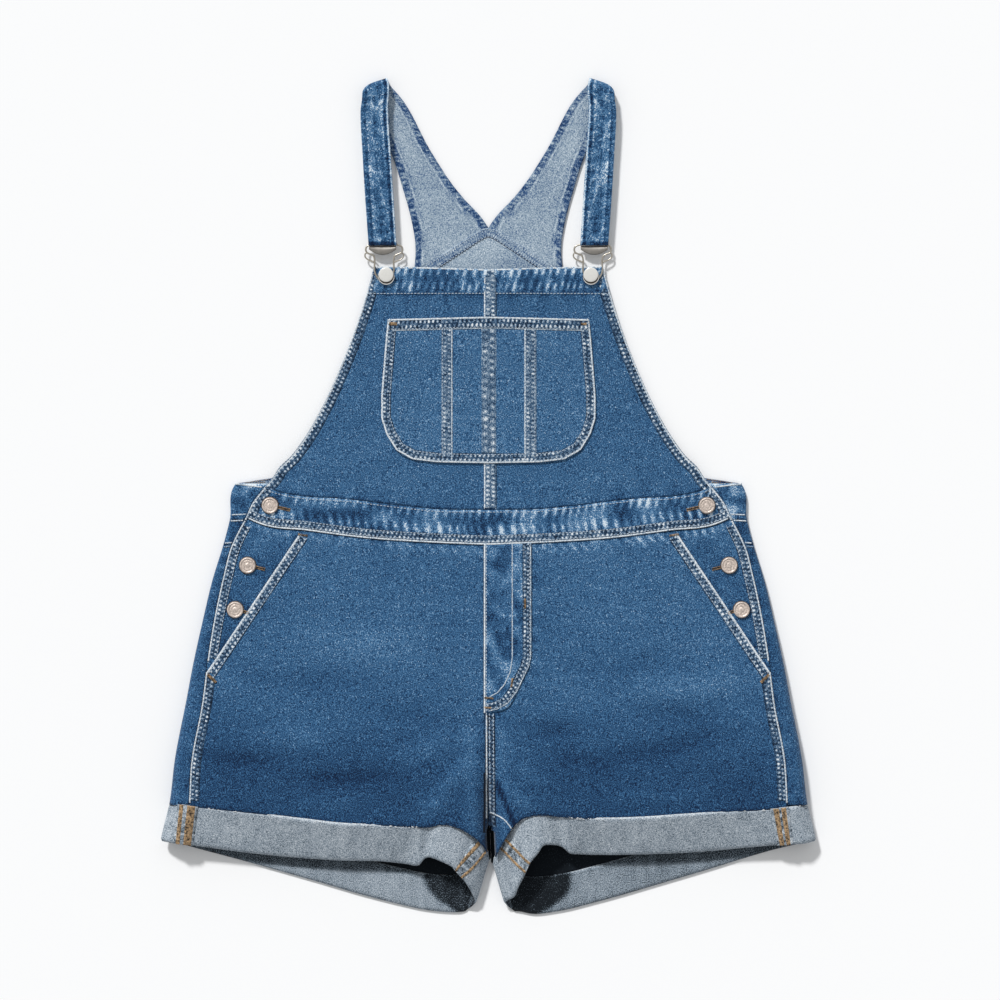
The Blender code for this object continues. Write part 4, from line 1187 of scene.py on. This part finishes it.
# %% [markdown]
# ## Metal
# The tack buttons are turned caps with a rolled rim and a ring of small beads; a dark ring of painted contact shadow
# lies under each one on the sides.
# The two on the bib stand on shanks, and the wire buckles hook round them. Each
# wire is a round tube along a smooth path, with an ear and a hook at each side.


# %% Buttons
def lathe(profile, centre, tilt=0.0, beads=0, segments=48):
    """Rings of a profile of radius and height about Z, closed at both poles, tilted about X and moved."""
    profile = np.array(profile, float)
    angle = np.linspace(0, 2 * math.pi, segments, endpoint=False)
    radius, height = profile[1:-1].T
    x = radius[:, None] * np.cos(angle)
    y = radius[:, None] * np.sin(angle)
    ring = np.exp(-((radius[:, None] / radius.max() - 0.56) / 0.1) ** 2)
    z = height[:, None] + 0.22 * ring * (np.cos(beads * angle) if beads else 0) + 0 * x
    body = np.stack([x, y, z], axis=-1).reshape(-1, 3)
    points = np.concatenate([[(0, 0, profile[0, 1])], body, [(0, 0, profile[-1, 1])]])
    turn = math.radians(tilt)
    c, s = math.cos(turn), math.sin(turn)
    points = points @ np.array([[1, 0, 0], [0, c, -s], [0, s, c]]).T + np.array(centre)
    rows = len(radius)
    index = 1 + np.arange(rows * segments).reshape(rows, segments)
    nextone = np.roll(index, -1, axis=1)
    quads = np.stack([index[:-1], nextone[:-1], nextone[1:], index[1:]], axis=-1).reshape(-1, 4).tolist()
    end = len(points) - 1
    quads += [[0, int(a), int(b)] for a, b in zip(nextone[0], index[0])]
    quads += [[end, int(a), int(b)] for a, b in zip(index[-1], nextone[-1])]
    return points, quads, np.zeros(len(points))


CAP = ((0, 2.35), (1.2, 2.5), (2.2, 2.35), (2.9, 1.95), (3.6, 2.1), (4.6, 2.4), (5.4, 2.1), (5.9, 1.9), (6.3, 2.6),
       (6.9, 3.05), (7.5, 2.85), (8.0, 2.2), (8.15, 1.6), (7.4, 0.5), (4.9, 0.0), (0, 0.0))
SHADOW_RING = ((0, 0.6), (8.7, 0.5), (8.9, 0.3), (8.7, 0.1), (0, 0))
DISC = ((0, 2.7), (3, 2.68), (5.6, 2.55), (6.9, 2.45), (7.3, 2.2), (7.35, 1.9), (0, 1.6))
GROOVE = ((0, 1.6), (7.5, 1.5), (7.7, 1.2), (7.5, 0.8), (0, 0.8))
RIM = ((0, 1.7), (7.2, 1.75), (7.5, 2.0), (8.0, 1.9), (8.15, 1.4), (7.4, 0.4), (2.6, 0), (2.6, -1.4), (0, -1.4))
SIDE_BUTTONS = {"waist": (218.7, -9.6), "hip_upper": (241, -69.5), "hip_lower": (253.2, -113.8)}
BIB_BUTTON = (102.5, 221.4)
for side, word in SIDES:
    shadows = []
    for place, (x, y) in SIDE_BUTTONS.items():
        lift = BAND_LIFT if place == "waist" else 0
        centre = (side * x, y, float(top(np.array(x), np.array(y))) + lift + 0.6)
        button = add_joined(f"button_cap_{place}_{word}", [lathe(CAP, centre, 0, 16)], [nickel_cap])
        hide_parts(f"button_{place}_{word}")
        # A flat dark ring under each side button: painted contact shadow.
        shadows.append(lathe(SHADOW_RING, (centre[0], centre[1], centre[2] - 0.5), 0))
    add_joined("button_painted_shadows_" + word, shadows, [patina_and_painted_shadow])
    x, y = BIB_BUTTON
    centre = (side * x, y, 8.2)
    rim = add_joined("bib_button_rim_" + word, [lathe(RIM, (side * x + 0.3, y - 1.6, 8.0), 6)], [nickel_bright])
    groove = add_joined("bib_button_groove_" + word, [lathe(GROOVE, (side * x + 0.15, y - 0.8, 9.0), 6)],
                        [patina_and_painted_shadow])
    disc = add_joined("bib_button_face_" + word, [lathe(DISC, (side * x, y + 0.3, 9.0), 6)], [nickel_bright])
    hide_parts(f"button_bib_{word}")


# %% [markdown]
# ### Buttonholes, bars and side seams
# Tan thread works the keyhole buttonholes, whose tails show beside the buttons,
# and the short bars that hold the pocket and fly ends.

# %% Buttonholes and bars
def bar(points, base, length=2.6, offset=0.0):
    """A row of crosswise stitches side by side."""
    return stitches(points, base, offset, 1.0, length, 0.95, crosswise=True)


BARS = (((-3.5, -201), (4.5, -201.6), FLY_LIFT + 0.9, 2.2), ((-3.5, -210.5), (2.5, -211), FLY_LIFT + 0.9, 2.0),
        ((24, -182), (22.8, -190), FLY_LIFT + 0.9, 2.2), ((36.6, -103), (36.6, -112), FLY_LIFT + 0.9, 2.4),
        ((-99, 172.6), (-92, 172.6), PATCH_LIFT + 1.4, 4.0), ((93, 172.2), (98, 172.2), PATCH_LIFT + 1.4, 3.0))
fly_bars = add_joined("fly_bars", [bar([a, b], lift, length) for a, b, lift, length in BARS[:4]], [thread_tan])
patch_bars = add_joined("pocket_bars", [bar([a, b], lift, length) for a, b, lift, length in BARS[4:]], [thread_tan])
TAILS = {"waist": 20.0, "hip_upper": 17.0, "hip_lower": 13.0}
for side, word in SIDES:
    tan = [bar([(side * 190, -38.5), (side * 181.5, -39.6)], 0.9, 2.4),
           bar([(side * 280, -178.5), (side * 272.5, -186)], 1.0, 3.4)]
    slits = []
    for place, (x, y) in SIDE_BUTTONS.items():
        lift = BAND_LIFT if place == "waist" else 0.0
        end = TAILS[place]
        tail = [(side * (x - 8.0), y - 1.6), (side * (x - end), y - 0.16 * end - 1.2)]
        for offset in (-1.0, 1.0):
            tan.append(stitches(tail, lift + 0.7, offset, 0.9, 1.5, 0.75, crosswise=True))
        slits.append(strip(tail, 1.5, 0.5, -0.2, 0, (0, 0), lift, 4, 0))
    add_joined("buttonholes_" + word, tan, [thread_tan])
    add_joined("buttonhole_slits_" + word, slits, [denim_hem])

# %% Lines on the side strips
for side, word in SIDES:
    lines = []
    for y, level in ((-18.2, 0.8), (-24.4, 0.85), (-46.6, 0.85), (-50.4, 0.6)):
        start, end = float(edge(np.array(y))) + 1.6, float(curve(OUTLINE, np.array(y))) - 1.5
        lines.append(edge_line([(side * start, y), (side * end, y - 0.6)], 0.4, 1.3, level))
    lines.append(edge_line([(side * 226.8, 9.0), (side * 240, 10.6), (side * 254, 12.2)], 0.6, 1.5, 0.9))
    tan = [stitches([(side * 244, 13.2), (side * 220, 16.8)], 0, 0, 1.8, 1.5, 0.9, lambda x, y: 3.0 + 0 * x),
           stitches([(side * 241, 11.6), (side * 225, 14.0)], 0, 0, 1.8, 1.5, 0.9, lambda x, y: 3.0 + 0 * x)]
    add_joined("side_lines_" + word, lines, [denim_hem])
    add_joined("waist_inside_stitches_" + word, tan, [thread_tan])


# %% Wire buckles
def tube(rows, radius, closed=False, around=10):
    """A round tube along a smooth path through rows of x, y and z."""
    path = spline(rows, 0.6, closed)
    ahead = (np.roll(path, -1, axis=0) - np.roll(path, 1, axis=0)) if closed else np.gradient(path, axis=0)
    ahead = ahead / np.linalg.norm(ahead, axis=1)[:, None]
    sideways = np.cross(ahead, [0, 0, 1.0])
    sideways = sideways / np.linalg.norm(sideways, axis=1)[:, None]
    upward = np.cross(sideways, ahead)
    angle = np.linspace(0, 2 * math.pi, around, endpoint=False)[None, :, None]
    loop = path[:, None] + radius * (np.cos(angle) * sideways[:, None] + np.sin(angle) * upward[:, None])
    count = len(path)
    if closed:
        faces = (grid_faces(count + 1, around, loop=True) % (count * around)).tolist()
    else:
        faces = grid_faces(count, around, loop=True).tolist()
        faces += [list(range(around)), list(range(count * around - 1, (count - 1) * around - 1, -1))]
    return loop.reshape(-1, 3), faces, np.zeros(count * around)


BUCKLE_X = 104.5
WIRE_Z = 6.6
WIRE_HALF = (
    (14, 251.5), (17.2, 250.2), (18.5, 247), (17.2, 243.8), (14, 242.5), (11, 241),
    (9.6, 237), (9.6, 232), (9.8, 227), (8, 221), (4.5, 217), (0, 215.5))
HOOK = ((12.4, 242.0, 6.6), (15.5, 243.2, 6.0), (18.6, 243.4, 5.6), (19.3, 240.4, 5.6), (16.6, 237.2, 5.8),
        (12.8, 235.6, 6.2), (10.4, 234.4, 6.6))
for side, word in SIDES:
    ring = [(side * BUCKLE_X + x, y, WIRE_Z) for x, y in WIRE_HALF]
    ring += [(side * BUCKLE_X - x, y, WIRE_Z) for x, y in reversed(WIRE_HALF) if x > 0]
    hooks = [tube([(side * BUCKLE_X + way * x, y, z) for x, y, z in HOOK], 0.75) for way in (-1, 1)]
    wire = add_joined("buckle_wire_" + word, [tube(ring, 0.9, closed=True)] + hooks, [nickel])
    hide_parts("buckle_" + word)
    u, v = np.meshgrid(np.linspace(-1, 1, 33), np.linspace(0, 1, 9))
    x = side * (BUCKLE_X + 1.5) + 13.6 * u
    y = mix(241.6 + 5.4 * u ** 2, 251.0 + 0 * u, v)
    z = 7.6 + 1.5 * np.sin(math.pi * v) - 0.6 * v
    plate = add_cloth("strap_plate_" + word, np.stack([x, y, z], axis=-1), 0.8, [nickel_plate], 0 * x,
                      ("slider_" + word,))

# %% [markdown]
# ## Floor, light and camera
# The garment lies on white. One wide soft lamp stands above the shoulders and
# a little to the left, so what lies high throws a short shadow towards the
# hems. The camera looks straight down.

# %% Floor
floor_material = bpy.data.materials.new("white_floor")
floor_material.use_nodes = True
paint = floor_material.node_tree.nodes["Principled BSDF"]
paint.inputs["Base Color"].default_value = (0.99, 0.99, 0.99, 1)
paint.inputs["Roughness"].default_value = 0.9
paint.inputs["Specular IOR Level"].default_value = 0.1
floor_mesh = bpy.data.meshes.new("floor")
floor_mesh.from_pydata([(-6, -6, 0), (6, -6, 0), (6, 6, 0), (-6, 6, 0)], [], [(0, 1, 2, 3)])
floor_mesh.materials.append(floor_material)
floor = bpy.data.objects.new("floor", floor_mesh)
floor.location = (0, 0, -0.0005)
bpy.context.scene.collection.objects.link(floor)

# %% Light
world = bpy.data.worlds.new("sky")
world.use_nodes = True
world.node_tree.nodes["Background"].inputs["Color"].default_value = (0.97, 0.985, 1, 1)
world.node_tree.nodes["Background"].inputs["Strength"].default_value = 0.47
bpy.context.scene.world = world
lamp_data = bpy.data.lights.new("key", "SUN")
lamp_data.energy = 2.65
lamp_data.angle = math.radians(7)
lamp = bpy.data.objects.new("key", lamp_data)
lamp.rotation_euler = Vector((0.34, -0.72, -0.62)).to_track_quat("-Z", "Y").to_euler()
bpy.context.scene.collection.objects.link(lamp)

# %% Camera
camera_data = bpy.data.cameras.new("camera")
camera = bpy.data.objects.new("camera", camera_data)
camera_data.lens = 114.7
camera_data.sensor_width = 36
camera.location = (0.0116, -0.004, 3.2)
bpy.context.scene.collection.objects.link(camera)
bpy.context.scene.camera = camera
bpy.context.scene.view_settings.view_transform = "Standard"

# %% [markdown]

# %% An empty loop over the sides
for side, word in SIDES:
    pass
